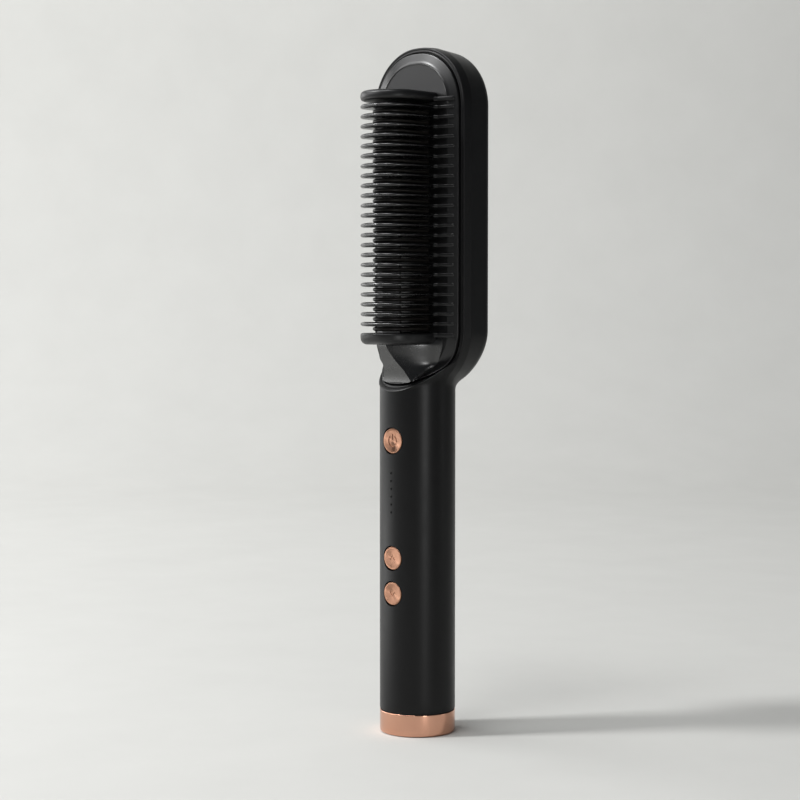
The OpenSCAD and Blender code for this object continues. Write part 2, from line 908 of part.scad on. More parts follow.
module heat_shield() {
  inner_half = shield_half - shield_wall;
  depth = shield_back_y - shield_front_y;
  color("#e4dfd2")
    difference() {
      union() {
        difference() {
          translate([-shield_half, shield_front_y, shield_low_z])
            cube([2 * shield_half, depth, shield_high_z - shield_low_z]);
          translate([-inner_half, shield_front_y - cut, shield_low_z + shield_end])
            cube([2 * inner_half, depth - shield_wall + cut, shield_high_z - shield_low_z - 2 * shield_end]);
        }
        for (side = [-1, 1], end = [-1, 1])
          scale([side, 1, 1])
            translate([inner_half - shield_post, slab_back_y, head_mid_z
                + end * ((shield_high_z - shield_low_z) / 2 - shield_end - shield_post / 2) - shield_post / 2])
              cube([shield_post + cut, shield_back_y - slab_back_y, shield_post]);
        for (side = [-1, 1], end = [-1, 1]) {
          pin_y(side * ear_x, head_mid_z + end * ear_span / 2, ear_y, ear_y + ear_t, ear_r);
          translate([side * (shield_half + ear_x) / 2 - ear_x / 8, ear_y, head_mid_z + end * ear_span / 2 - ear_r])
            cube([ear_x / 4, ear_t, 2 * ear_r]);
        }
      }
      for (side = [-1, 1], end = [-1, 1])
        pin_y(side * ear_x, head_mid_z + end * ear_span / 2, ear_y - cut, ear_y + ear_t + cut, screw_hole_r);
      translate([-heater_lead_x - 1.5, heater_lead_y - 1, shield_low_z - cut])
        cube([2 * heater_lead_x + 3, 2, shield_end + 2 * cut]);
    }
}

module shield_screws() {
  color("#b5b5b3")
    for (side = [-1, 1], end = [-1, 1])
      screw_y(side * ear_x, head_mid_z + end * ear_span / 2, ear_y + ear_t, ear_t + 1.5);
}

// Straight stretch of lead between two points that share one X
module lead_run(a, b) {
  step = b - a;
  translate(a)
    rotate([-atan2(step[1], step[2]), 0, 0])
      cylinder(r = lead_r, h = norm(step), $fn = small_fn);
}

module heater_leads() {
  color("#8c1f1b")
    for (side = [-1, 1]) {
      x = side * heater_lead_x;
      bend_low = [x, lead_y, heater_lead_turn_z];
      bend_high = [x, heater_lead_y, heater_lead_turn_z + heater_lead_rise];
      lead_run([x, lead_y, board_high_z], bend_low);
      translate(bend_low)
        sphere(r = lead_r, $fn = small_fn);
      lead_run(bend_low, bend_high);
      translate(bend_high)
        sphere(r = lead_r, $fn = small_fn);
      lead_run(bend_high, [x, heater_lead_y, head_mid_z - element_len / 2]);
    }
}

// Where the two long screws of the base stand
module post_places() {
  for (side = [-1, 1])
    translate([side * post_x, post_y, 0])
      children();
}

module board_screw_places() {
  for (side = [-1, 1], z = [board_low_z + board_screw_inset, board_high_z - board_screw_inset])
    translate([side * board_screw_x, 0, z])
      children();
}

module chassis() {
  color("#3b3d40")
    difference() {
      union() {
        intersection() {
          translate([0, 0, plug_top_z])
            cylinder(r = chassis_r, h = chassis_top_z - plug_top_z, $fn = round_fn);
          union() {
            for (z = [plug_top_z, chassis_top_z - chassis_plate_t])
              translate([-bore_r, web_front_y, z])
                cube([2 * bore_r, 2 * bore_r, chassis_plate_t]);
            translate([-rail_out, web_front_y, plug_top_z])
              cube([2 * rail_out, web_t, chassis_top_z - plug_top_z]);
            for (side = [-1, 1])
              scale([side, 1, 1])
                translate([rail_in, web_front_y, plug_top_z])
                  cube([rail_out - rail_in, rail_back_y - web_front_y, chassis_top_z - plug_top_z]);
          }
        }
        board_screw_places()
          pin_y(0, 0, board_back_y, web_front_y + cut, standoff_r);
        post_places()
          translate([0, 0, plug_top_z])
            cylinder(r = post_r, h = chassis_screw_bite + 1, $fn = small_fn);
      }
      post_places()
        translate([0, 0, plug_top_z - cut])
          cylinder(r = pilot_r, h = chassis_screw_bite + cut, $fn = small_fn);
      board_screw_places()
        pin_y(0, 0, board_back_y - cut, web_back_y + cut, pilot_r);
      translate([0, cell_y, lower_contact_z])
        cylinder(r = cell_r + 0.2, h = chassis_top_z - chassis_plate_t - lower_contact_z, $fn = round_fn);
    }
}

module cell(z) {
  color("#3f6fa6")
    translate([0, cell_y, z])
      cylinder(r = cell_r, h = cell_len, $fn = round_fn);
}

module lower_cell() {
  cell(lower_cell_z);
}

module upper_cell() {
  cell(upper_cell_z);
}

module cell_contacts() {
  color("#cfcfc8")
    for (z = [lower_contact_z, link_z, upper_contact_z])
      translate([0, cell_y, z])
        cylinder(r = contact_r, h = contact_t, $fn = small_fn);
}

module control_board() {
  color("#1f6b45")
    difference() {
      translate([-board_half, board_front_y, board_low_z])
        cube([2 * board_half, board_t, board_high_z - board_low_z]);
      board_screw_places()
        pin_y(0, 0, board_front_y - cut, board_back_y + cut, screw_hole_r);
    }
}

module board_screws() {
  color("#b5b5b3")
    board_screw_places() {
      pin_y(0, 0, board_front_y - screw_head_h, board_front_y, screw_head_r);
      pin_y(0, 0, board_front_y, web_front_y + web_t - 0.2, screw_r);
    }
}

// A part soldered on the front of the control board
module board_part(x, z, size) {
  translate([x - size[0] / 2, board_front_y - size[1], z - size[2] / 2])
    cube(size);
}

module board_components() {
  color("#2a2a2c") {
    board_part(chip_x, led_mid_z, [chip_w, chip_t, chip_w]);
    board_part(-chip_x, led_mid_z, [0.9 * chip_w, 2 * chip_t, chip_w]);
    board_part(-chip_x, power_z + 1.8 * chip_w, [0.8 * chip_w, 1.4 * chip_t, 0.8 * chip_w]);
    board_part(chip_x, power_z + 1.7 * chip_w, [0.7 * chip_w, chip_t, 0.6 * chip_w]);
    board_part(chip_x, up_z + 2 * chip_w, [0.6 * chip_w, 1.2 * chip_t, 0.6 * chip_w]);
  }
}

module tact_switches() {
  color("#55575a")
    for (z = [power_z, up_z, down_z])
      difference() {
        board_part(0, z, [switch_w, switch_h, switch_w]);
        pin_y(0, z, switch_front_y - cut, switch_front_y + plunger_sunk + button_travel + fit_gap, plunger_r + fit_gap);
      }
}

module plunger(z) {
  color("#d8d2c4")
    pin_y(0, z, plunger_tip_y, switch_front_y + plunger_sunk, plunger_r);
}

module power_plunger() {
  plunger(power_z);
}

module up_plunger() {
  plunger(up_z);
}

module down_plunger() {
  plunger(down_z);
}

// Turned button cap with a stem on the plunger and a flange that keeps it behind the handle wall
module button_body(cap_d) {
  half = cap_d / 2;
  flange_r = half + flange_lap;
  flange_front = sqrt(pow(bore_r, 2) - pow(flange_r, 2)) - fit_gap;
  face = -button_face_y;
  rotate_extrude($fn = round_fn)
    polygon([
      [0, -plunger_tip_y],
      [stem_r, -plunger_tip_y],
      [stem_r, flange_front - flange_t],
      [flange_r, flange_front - flange_t],
      [flange_r, flange_front],
      [half, flange_front],
      [half, face - button_edge],
      [half - button_edge, face],
      [half - 2 * button_edge, face],
      [0, face - dish_depth],
    ]);
}

module chevron(sign) {
  for (side = [-1, 1])
    rotate([0, 0, side * 45 * sign])
      translate([-mark_w / 2, sign > 0 ? -1.7 : 0, 0])
        cube([mark_w, 1.7, 1]);
}

module power_button() {
  color("#c08c70")
    facing_front(power_z)
      difference() {
        button_body(power_cap_d);
        translate([0, 0, -button_face_y - dish_depth - mark_depth]) {
          rotate([0, 0, 125])
            rotate_extrude(angle = 290, $fn = small_fn)
              translate([1.9, 0])
                square([mark_w, 1]);
          translate([-mark_w / 2, 0.4, 0])
            cube([mark_w, 2.4, 1]);
        }
      }
}

module up_button() {
  color("#c08c70")
    facing_front(up_z)
      difference() {
        button_body(small_cap_d);
        translate([0, 0.6, -button_face_y - dish_depth - mark_depth])
          chevron(1);
      }
}

module down_button() {
  color("#c08c70")
    facing_front(down_z)
      difference() {
        button_body(small_cap_d);
        translate([0, -0.6, -button_face_y - dish_depth - mark_depth])
          chevron(-1);
      }
}

module indicator_leds() {
  color("#f2f2e8")
    for (i = [0:led_count - 1])
      board_part(0, led_top_z - i * led_pitch, led_size);
}

module light_guide() {
  low = led_low_z - guide_end;
  high = led_top_z + guide_end;
  color("#dfe6e8") {
    translate([-guide_half, guide_front_y, low])
      cube([2 * guide_half, guide_back_y - guide_front_y, high - low]);
    for (z = [low - guide_foot, high])
      translate([-guide_half, guide_front_y, z])
        cube([2 * guide_half, board_front_y - guide_front_y, guide_foot]);
    for (i = [0:led_count - 1])
      pin_y(0, led_top_z - i * led_pitch, guide_pin_y, guide_front_y + cut, guide_pin_r);
  }
}

module charge_leads() {
  color("#22262e")
    for (side = [-1, 1])
      lead_run([side * charge_lead_x, lead_y, charge_board_z + charge_board_t],
        [side * charge_lead_x, lead_y, board_low_z]);
}

// Slot with round ends, centred on the handle's axis
module port_outline(grow) {
  r = port_h / 2 + grow;
  reach = port_w / 2 - port_h / 2;
  for (side = [-1, 1])
    translate([side * reach, 0])
      circle(r, $fn = small_fn);
  translate([-reach, -r])
    square([2 * reach, 2 * r]);
}

module charging_board() {
  color("#1f6b45")
    difference() {
      translate([0, 0, charge_board_z])
        cylinder(r = plug_bore_r - 0.2, h = charge_board_t, $fn = round_fn);
      post_places()
        translate([0, 0, charge_board_z - cut])
          cylinder(r = post_r + 0.2, h = charge_board_t + 2 * cut, $fn = small_fn);
    }
}

module charging_port() {
  color("#b9bbbd") {
    difference() {
      translate([0, 0, port_z])
        linear_extrude(charge_board_z - port_z)
          port_outline(0);
      translate([0, 0, port_z - cut])
        linear_extrude(charge_board_z - port_back - port_z + cut)
          port_outline(-port_wall);
    }
    translate([-tongue_w / 2, -tongue_t / 2, port_z + port_mouth])
      cube([tongue_w, tongue_t, charge_board_z - port_back - port_z - port_mouth + cut]);
  }
}

module cap_plug() {
  color("#2a2a2b")
    difference() {
      union() {
        difference() {
          union() {
            translate([0, 0, cap_floor])
              cylinder(r = plug_low_r, h = cap_h - cap_floor, $fn = round_fn);
            translate([0, 0, cap_floor])
              cylinder(r = plug_high_r, h = plug_top_z - cap_floor, $fn = round_fn);
          }
          translate([0, 0, charge_board_z])
            cylinder(r = plug_bore_r, h = plug_top_z - charge_board_z + cut, $fn = round_fn);
          translate([0, 0, plug_floor_z])
            cylinder(r = ledge_r, h = plug_top_z, $fn = round_fn);
        }
        post_places()
          translate([0, 0, cap_floor])
            cylinder(r = post_r, h = plug_top_z - cap_floor, $fn = small_fn);
      }
      post_places() {
        translate([0, 0, cap_floor - cut])
          cylinder(r = screw_hole_r, h = plug_top_z, $fn = small_fn);
        translate([0, 0, cap_floor - cut])
          cylinder(r = screw_head_r + fit_gap, h = chassis_screw_sink + cut, $fn = small_fn);
      }
      translate([0, 0, cap_floor - cut])
        linear_extrude(plug_floor + 2 * cut)
          port_outline(port_gap);
    }
}

module chassis_screws() {
  color("#b5b5b3")
    post_places() {
      translate([0, 0, cap_floor + chassis_screw_sink - screw_head_h])
        cylinder(r = screw_head_r, h = screw_head_h, $fn = small_fn);
      translate([0, 0, cap_floor + chassis_screw_sink])
        cylinder(r = screw_r, h = plug_top_z + chassis_screw_bite - 1 - cap_floor - chassis_screw_sink,
          $fn = small_fn);
    }
}

module cap_gasket() {
  color("#101011")
    difference() {
      translate([0, 0, cap_h])
        cylinder(r = handle_r - gasket_lip, h = gasket_t, $fn = round_fn);
      translate([0, 0, cap_h - cut])
        cylinder(r = bore_r + gasket_in, h = gasket_t + 2 * cut, $fn = round_fn);
    }
}

module end_cap() {
  color("#c79a80")
    difference() {
      rotate_extrude($fn = round_fn) {
        square([cap_r - cap_edge_r, cap_h]);
        translate([0, cap_edge_r])
          square([cap_r, cap_h - cap_edge_r]);
        translate([cap_r - cap_edge_r, cap_edge_r])
          circle(cap_edge_r, $fn = small_fn);
      }
      translate([0, 0, cap_floor])
        cylinder(r = cap_bore_r, h = cap_h, $fn = round_fn);
      translate([0, 0, -cut])
        linear_extrude(cap_floor + 2 * cut)
          port_outline(port_gap);
    }
}

housing();
comb_guard();
heated_comb();
heating_element();
mica_sheet();
element_clamp();
clamp_screws();
thermal_fuse();
thermistor();
heat_shield();
shield_screws();
heater_leads();
chassis();
lower_cell();
upper_cell();
cell_contacts();
control_board();
board_screws();
board_components();
tact_switches();
power_plunger();
up_plunger();
down_plunger();
power_button();
up_button();
down_button();
indicator_leds();
light_guide();
charge_leads();
charging_board();
charging_port();
cap_plug();
chassis_screws();
cap_gasket();
end_cap();
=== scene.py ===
from math import atan2, cos, hypot, pi, radians, sin, sqrt, tan

import bmesh
import bpy
from mathutils import Matrix, Vector


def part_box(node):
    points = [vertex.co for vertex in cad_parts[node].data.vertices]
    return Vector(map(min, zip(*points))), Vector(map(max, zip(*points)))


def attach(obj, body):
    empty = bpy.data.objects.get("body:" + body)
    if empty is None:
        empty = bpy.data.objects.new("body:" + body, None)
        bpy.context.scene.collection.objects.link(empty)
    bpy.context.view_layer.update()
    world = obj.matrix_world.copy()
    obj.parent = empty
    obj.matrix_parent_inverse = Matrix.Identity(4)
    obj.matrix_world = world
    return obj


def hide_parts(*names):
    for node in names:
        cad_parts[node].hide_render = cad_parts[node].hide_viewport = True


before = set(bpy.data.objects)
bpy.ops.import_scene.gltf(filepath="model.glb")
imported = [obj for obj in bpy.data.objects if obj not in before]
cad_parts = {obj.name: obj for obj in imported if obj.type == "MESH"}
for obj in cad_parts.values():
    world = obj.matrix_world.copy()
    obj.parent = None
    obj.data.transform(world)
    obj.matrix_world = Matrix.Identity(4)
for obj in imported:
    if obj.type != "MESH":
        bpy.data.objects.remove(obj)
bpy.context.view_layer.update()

scene = bpy.context.scene
mm = 0.001  # the shapes are worked in millimetres and brought to metres at the end

print("stage: camera")
cameraSet = dict(place=(0.5684, -0.5993, 0.1827), heading=44, pitch=2.9, lens=87.98)
lensData = bpy.data.cameras.new("photoCamera")
lensData.lens = cameraSet["lens"]
lensData.sensor_width = 36
lensData.clip_start = 0.02
lensData.clip_end = 40
photoCamera = bpy.data.objects.new("photoCamera", lensData)
photoCamera.location = cameraSet["place"]
photoCamera.rotation_euler = (radians(90 - cameraSet["pitch"]), 0, radians(cameraSet["heading"]))
scene.collection.objects.link(photoCamera)
scene.camera = photoCamera


def smooth(t):
    # eased step from 0 to 1
    t = min(max(t, 0.0), 1.0)
    return t * t * (3 - 2 * t)


def blendMin(a, b, width):
    # the smaller of two values, eased where they are close
    near = max(width - abs(a - b), 0) / width
    return min(a, b) - near * near * width / 4


def solve(value, low, high, steps=34):
    # value falls through zero somewhere between low and high
    for _ in range(steps):
        middle = (low + high) / 2
        if value(middle) > 0:
            low = middle
        else:
            high = middle
    return (low + high) / 2


def alongLine(points, at):
    # smooth curve through (x, a, b, ...) rows, read at x
    rows = sorted(points)
    at = min(max(at, rows[0][0]), rows[-1][0])
    i = max(k for k in range(len(rows) - 1) if rows[k][0] <= at)
    before, here, ahead, after = rows[max(i - 1, 0)], rows[i], rows[i + 1], rows[min(i + 2, len(rows) - 1)]
    t = (at - here[0]) / (ahead[0] - here[0])
    found = []
    for a, b, c, d in zip(before[1:], here[1:], ahead[1:], after[1:]):
        inSlope, outSlope = (c - a) / 2, (d - b) / 2
        found.append((2 * t ** 3 - 3 * t * t + 1) * b + (t ** 3 - 2 * t * t + t) * inSlope
                     + (3 * t * t - 2 * t ** 3) * c + (t ** 3 - t * t) * outSlope)
    return found


def formGrid(bm, columns, rows, place):
    # a flat grid whose corners are moved onto the surface by place(column, row)
    for v in bmesh.ops.create_grid(bm, x_segments=columns - 1, y_segments=rows - 1, size=1)["verts"]:
        v.co = place(round((v.co.x + 1) / 2 * (columns - 1)), round((v.co.y + 1) / 2 * (rows - 1)))


def softLine(corners, steps=4):
    # polyline with rounded corners: (a, b) is sharp, (a, b, r) is rounded
    line = []
    for k, corner in enumerate(corners):
        here = Vector(corner[:2])
        if len(corner) < 3 or k in (0, len(corners) - 1):
            line.append(here)
            continue
        back, ahead = Vector(corners[k - 1][:2]) - here, Vector(corners[k + 1][:2]) - here
        reach = corner[2] / tan(max(back.angle(ahead), 0.05) / 2)
        start, end = here + back.normalized() * reach, here + ahead.normalized() * reach
        for s in range(steps + 1):
            t = s / steps
            line.append(start * (1 - t) ** 2 + here * 2 * t * (1 - t) + end * t * t)
    return line


def turnProfile(bm, line, steps=96, angle=2 * pi, middle=(0, 0, 0), start=0.0):
    # line is (radius, height); it is turned about the upright axis through middle
    middle = Vector(middle)
    made = [bm.verts.new(middle + Vector((p[0] * cos(start), p[0] * sin(start), p[1]))) for p in line]
    made += [bm.edges.new(pair) for pair in zip(made, made[1:])]
    bmesh.ops.spin(bm, geom=made, cent=middle, axis=(0, 0, 1), dvec=(0, 0, 0), angle=angle, steps=steps,
                   use_merge=angle > 6.28, use_duplicate=False)


def drawBack(bm, ends, depths):
    # open edges are drawn along Y from depth to depth, and closed at the last
    for y in depths:
        grown = bmesh.ops.extrude_edge_only(bm, edges=ends)["geom"]
        for v in grown:
            if isinstance(v, bmesh.types.BMVert):
                v.co.y = y
        ends = [e for e in grown if isinstance(e, bmesh.types.BMEdge)
                and all(abs(v.co.y - y) < 1e-4 for v in e.verts)]
    bmesh.ops.holes_fill(bm, edges=ends, sides=0)


def tidyMesh(bm, dist=1e-4):
    bmesh.ops.remove_doubles(bm, verts=bm.verts, dist=dist)
    bmesh.ops.dissolve_degenerate(bm, edges=bm.edges, dist=dist)
    bmesh.ops.recalc_face_normals(bm, faces=bm.faces)


def carve(bm, cutter):
    # exact difference of two closed meshes; both are used up
    pair = []
    for part in (bm, cutter):
        tidyMesh(part)
        mesh = bpy.data.meshes.new("carving")
        part.to_mesh(mesh)
        part.free()
        pair.append(bpy.data.objects.new("carving", mesh))
        scene.collection.objects.link(pair[-1])
    step = pair[0].modifiers.new("carve", "BOOLEAN")
    step.object, step.solver, step.operation = pair[1], "EXACT", "DIFFERENCE"
    bpy.context.view_layer.update()
    carved = bmesh.new()
    carved.from_object(pair[0], bpy.context.evaluated_depsgraph_get())
    for thing in pair:
        mesh = thing.data
        bpy.data.objects.remove(thing)
        bpy.data.meshes.remove(mesh)
    return carved


def roundBar(bm, radius, back, front, place, segments):
    # a round bar along Y, between two depths
    turnBar = Matrix.Translation((place[0], (back + front) / 2, place[1])) @ Matrix.Rotation(pi / 2, 4, "X")
    bmesh.ops.create_cone(bm, cap_ends=True, segments=segments, radius1=radius, radius2=radius,
                          depth=abs(back - front), matrix=turnBar)


def block(bm, low, high, bevel=0.0):
    low, high = Vector(low), Vector(high)
    size = Matrix.Diagonal((*(high - low), 1))
    made = bmesh.ops.create_cube(bm, size=1, matrix=Matrix.Translation((low + high) / 2) @ size)["verts"]
    if bevel:
        edges = list({e for v in made for e in v.link_edges})
        bmesh.ops.bevel(bm, geom=made + edges, offset=bevel, offset_type="OFFSET", affect="EDGES", segments=2,
                        profile=0.5, material=-1, clamp_overlap=True)


def finishPiece(name, bm, material, body, stands=(), sharp=40):
    # the mesh becomes an object that rides on its body and stands for CAD nodes; edges bent by more than sharp
    # degrees stay crisp
    tidyMesh(bm)
    openCount = sum(not e.is_manifold for e in bm.edges)
    bmesh.ops.scale(bm, vec=(mm, mm, mm), verts=bm.verts)
    mesh = bpy.data.meshes.new(name)
    bm.to_mesh(mesh)
    bm.free()
    mesh.shade_smooth()
    mesh.set_sharp_from_angle(angle=radians(sharp))
    mesh.materials.append(material)
    piece = bpy.data.objects.new(name, mesh)
    scene.collection.objects.link(piece)
    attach(piece, body)
    if stands:
        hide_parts(*stands)
    print("piece:", name, len(mesh.polygons), "faces", openCount, "open")
    return piece


def linear(code):
    # sRGB hex to linear colour
    parts = [int(code[i:i + 2], 16) / 255 for i in (1, 3, 5)]
    return (*[c / 12.92 if c <= 0.04045 else ((c + 0.055) / 1.055) ** 2.4 for c in parts], 1)


def addNode(tree, kind, links=(), **settings):
    # one node; settings are its properties or inputs, links are (input, node, output)
    node = tree.nodes.new(kind)
    for key, value in settings.items():
        if hasattr(node, key):
            setattr(node, key, value)
        else:
            node.inputs[int(key[2:]) if key.startswith("in") and key[2:].isdigit() else key.replace("_", " ")
                        ].default_value = value
    for name, source, output in links:
        tree.links.new(source.outputs[output], node.inputs[name])
    return node


def makeFinish(name, tone, tone2, rough, roughSwing=0.05, grain=0.5, grainDepth=0.02, patch=9.0, metallic=0.0,
               ior=1.46, specular=0.5, coat=0.0, coatRough=0.2, clear=0.0, rings=None, streak=None, waves=0.0):
    # A moulded, painted or metal surface, sizes in mm. grain is the fine texture, patch the slow mottling of
    # tone and gloss, waves the depth of a slow unevenness. rings = (x, z, spacing, depth) adds lathe rings
    # about an axis along Y, streak = (spacing, depth) adds fine turning marks round the upright axis.
    material = bpy.data.materials.new(name)
    material.use_nodes = True
    tree = material.node_tree
    shader = tree.nodes["Principled BSDF"]
    plainValues = {"Metallic": metallic, "IOR": 1.5 if metallic == 1 else ior, "Specular IOR Level": specular,
                   "Coat Weight": coat, "Coat Roughness": coatRough, "Transmission Weight": clear}
    for key, value in plainValues.items():
        shader.inputs[key].default_value = value
    place = addNode(tree, "ShaderNodeTexCoord")
    onObject = [("Vector", place, "Object")]
    mottle = addNode(tree, "ShaderNodeTexNoise", onObject, Scale=1 / (patch * mm), Detail=4.0, Roughness=0.6)
    tint = addNode(tree, "ShaderNodeMix", [("Factor", mottle, "Fac")], data_type="RGBA", in6=linear(tone),
                   in7=linear(tone2))
    tree.links.new(tint.outputs[2], shader.inputs["Base Color"])
    gloss = addNode(tree, "ShaderNodeMapRange", [("Value", mottle, "Fac")], in1=0.3, in2=0.7,
                    in3=rough - roughSwing, in4=rough + roughSwing)
    tree.links.new(gloss.outputs[0], shader.inputs["Roughness"])
    # every relief is a height pattern and its depth; each one's bump is laid over the one before
    fine = addNode(tree, "ShaderNodeTexNoise", onObject, Scale=1 / (grain * mm), Detail=2.0)
    reliefs = [(fine, grainDepth)]
    if waves:
        slow = addNode(tree, "ShaderNodeTexNoise", onObject, Scale=1 / (14 * mm), Detail=1.0)
        reliefs.append((slow, waves))
    if rings:
        x, z, spacing, depth = rings
        centre = addNode(tree, "ShaderNodeMapping", onObject, Location=(-x * mm, 0, -z * mm))
        # a wave texture of scale 0.314 has rings one unit apart
        lathe = addNode(tree, "ShaderNodeTexWave", [("Vector", centre, "Vector")], wave_type="RINGS",
                        rings_direction="Y", wave_profile="SIN", Scale=0.314 / (spacing * mm), Distortion=0.15,
                        Detail=1.0)
        reliefs.append((lathe, depth))
        # fine lathe lines stretch the reflections into wedges
        around = addNode(tree, "ShaderNodeVectorMath", [(0, centre, "Vector")], operation="CROSS_PRODUCT",
                         in1=(0, 1, 0))
        tree.links.new(around.outputs[0], shader.inputs["Tangent"])
        shader.inputs["Anisotropic"].default_value = 0.95
    if streak:
        spacing, depth = streak
        squash = addNode(tree, "ShaderNodeMapping", onObject, Scale=(0.01, 0.01, 1))
        marks = addNode(tree, "ShaderNodeTexNoise", [("Vector", squash, "Vector")], Scale=1 / (spacing * mm),
                        Detail=3.0)
        reliefs.append((marks, depth))
    under = []
    for pattern, depth in reliefs:
        bump = addNode(tree, "ShaderNodeBump", [("Height", pattern, "Fac"), *under], Strength=1.0,
                       Distance=depth * mm)
        under = [("Normal", bump, "Normal")]
    tree.links.new(bump.outputs[0], shader.inputs["Normal"])
    return material


print("stage: finishes")
powerPlace, upPlace, downPlace = 124.3, 75.0, 60.1
finishes = dict(
    # soft-touch lacquer on moulded ABS: a dry, very fine matte skin with a broad dull sheen
    soft_black=makeFinish("softTouchLacquer", "#0a0a0b", "#0d0d0e", 0.38, 0.03, grain=0.35, grainDepth=0.006,
                          specular=0.27),
    # satin moulded heat-resistant nylon: a little glossier than the handle, with slow soft unevenness
    comb_black=makeFinish("mouldedNylonSatin", "#0c0c0d", "#101011", 0.34, 0.03, grainDepth=0.005, waves=0.01),
    # the same nylon on the neck fairing, a touch glossier: the facet shines, the hollow flank stays dark
    comb_neck=makeFinish("mouldedNylonSheen", "#0c0c0d", "#101011", 0.28, 0.03, grainDepth=0.004,
                         specular=0.9, coat=0.35, coatRough=0.3, waves=0.01),
    # the same nylon out of a polished mould: the fins' rims carry sharper, brighter streaks
    comb_rims=makeFinish("mouldedNylonPolished", "#0b0b0c", "#0e0e0f", 0.26, 0.03, grainDepth=0.003,
                         specular=0.85, waves=0.006),
    # the same nylon on the thick end fins, spark-eroded: a duller, wider sheen than the thin fins
    comb_ends=makeFinish("mouldedNylonDull", "#0b0b0c", "#0e0e0f", 0.42, 0.03, grain=0.4, grainDepth=0.008,
                         specular=0.45),
    # ceramic coating sprayed on die-cast aluminium: faintly warm satin
    coated_aluminium=makeFinish("ceramicCoatedAluminium", "#262422", "#2f2c2a", 0.38, grain=0.3,
                                grainDepth=0.008, specular=0.45),
    # anodised rose gold aluminium, fine turned satin: long soft reflections and faint turning marks
    rose_cap=makeFinish("anodisedRoseSatin", "#d9a78e", "#d19d84", 0.2, 0.02, metallic=1.0, grainDepth=0.001,
                        streak=(0.25, 0.0008)),
    # die-cut EPDM ring: dead black, dull
    gasket_rubber=makeFinish("rubberEpdm", "#080808", "#0e0e0e", 0.8, grain=0.6, specular=0.3),
    # glass-filled nylon: dark, lightly speckled
    plug_black=makeFinish("glassFilledNylon", "#1b1b1c", "#262628", 0.55, 0.06, grain=0.4),
    # zinc-plated steel: bluish bright with a mild turned grain
    screw_steel=makeFinish("zincPlatedSteel", "#c9cbce", "#aab0b6", 0.28, 0.08, metallic=1.0, patch=2.0),
    # nickel-plated brass: warm bright metal
    nickel=makeFinish("nickelPlate", "#cfcabd", "#b9b4a8", 0.22, 0.06, metallic=1.0, patch=2.5),
    # rolled spring steel: neutral grey metal with fine rolling lines
    spring_steel=makeFinish("springSteelSheet", "#c4c5c6", "#a2a3a6", 0.34, 0.08, metallic=1.0, patch=5.0,
                            streak=(0.4, 0.01)),
    # tin plate on the small contacts: bright, almost white metal that clouds in spots
    bright_metal=makeFinish("tinPlate", "#d7d7d8", "#bcbdc0", 0.2, metallic=1.0, patch=2.0),
    # alumina heater: chalky unglazed ceramic
    heater_ceramic=makeFinish("aluminaUnglazed", "#e0dbd0", "#cfc8ba", 0.8, 0.06, grain=0.25, grainDepth=0.03),
    # phlogopite mica: flaky amber sheet
    mica=makeFinish("micaSheet", "#b0905a", "#8c6f42", 0.38, 0.12, patch=3.0, grain=0.8, grainDepth=0.03,
                    coat=0.3),
    # epoxy dipped over the sensor: glossy brown, uneven like a drop
    sensor_bead=makeFinish("dippedEpoxyBead", "#9c5030", "#7f3d23", 0.2, 0.04, patch=1.5),
    # moulded PPS heat shield: cream, with a fine spark-eroded texture
    heat_resin=makeFinish("ppsMoulding", "#ddd3bf", "#cdc2ac", 0.55, 0.06, grain=0.6, grainDepth=0.03),
    # silicone sleeves drawn over the leads: rubbery, even, without a shine
    lead_red=makeFinish("siliconeSleeveRed", "#8e1d17", "#a12a20", 0.5, grain=0.4, grainDepth=0.01),
    lead_dark=makeFinish("siliconeSleeveDark", "#25282d", "#1b1d21", 0.5, grain=0.4, grainDepth=0.01),
    # ABS chassis out of a textured mould: plain mid grey with a fine grain
    chassis_grey=makeFinish("absMouldingGrey", "#3d3f41", "#46484a", 0.5, 0.06, grain=0.6, grainDepth=0.03),
    # PVC sleeve shrunk on the cells: glossy blue film with soft ripples
    cell_sleeve=makeFinish("shrinkSleeveBlue", "#36699a", "#2d5a88", 0.22, 0.04, grain=3.0, grainDepth=0.05,
                           coat=0.4),
    # solder mask over copper: glossy green with slow tone changes
    board_green=makeFinish("solderMask", "#1c6a41", "#155636", 0.25, patch=1.6, grain=0.9),
    # moulded epoxy packages: flat charcoal with a sandy grain
    chip_black=makeFinish("epoxyPackage", "#212123", "#2b2b2e", 0.6, 0.06, grain=0.25),
    # PBT switch bodies: slate grey satin
    switch_grey=makeFinish("pbtMouldingGrey", "#55585b", "#606366", 0.5),
    # natural acetal: milky white, waxy
    plunger_white=makeFinish("acetalNatural", "#e4dfd2", "#d6d0c1", 0.42, grain=0.6, grainDepth=0.01),
    # cast resin of the small lamps: clean white, glossy, lets a little light in
    lamp_white=makeFinish("ledResin", "#f1f0e8", "#e2e0d6", 0.15, 0.03, patch=1.0, clear=0.3),
    # clear acrylic light guide given a near-black colour with no shine: painted shade, so the small lamp holes
    # in the handle read as dark holes
    clear_guide=makeFinish("guideHoleShade", "#020202", "#040404", 0.6, 0.04, patch=6.0, clear=0.05,
                           specular=0.0),
)
for key, z in (("Power", powerPlace), ("Up", upPlace), ("Down", downPlace)):
    # anodised rose gold aluminium, spun: lathe rings about each button's own axis, soft wedges of light. Its
    # tone is darker than the cap's rose gold: painted shade that holds down the light the button faces catch
    finishes["rose_" + key.lower()] = makeFinish(
        "anodisedRoseSpunShaded" + key, "#ad826c", "#a37962", 0.32, 0.03, metallic=1.0, grain=0.4, grainDepth=0.002,
        rings=(0, z, 0.22, 0.004))
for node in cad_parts.values():
    for holder in node.material_slots:
        slotName = holder.material.name.split(".")[0]
        if slotName in finishes:
            holder.material = finishes[slotName]

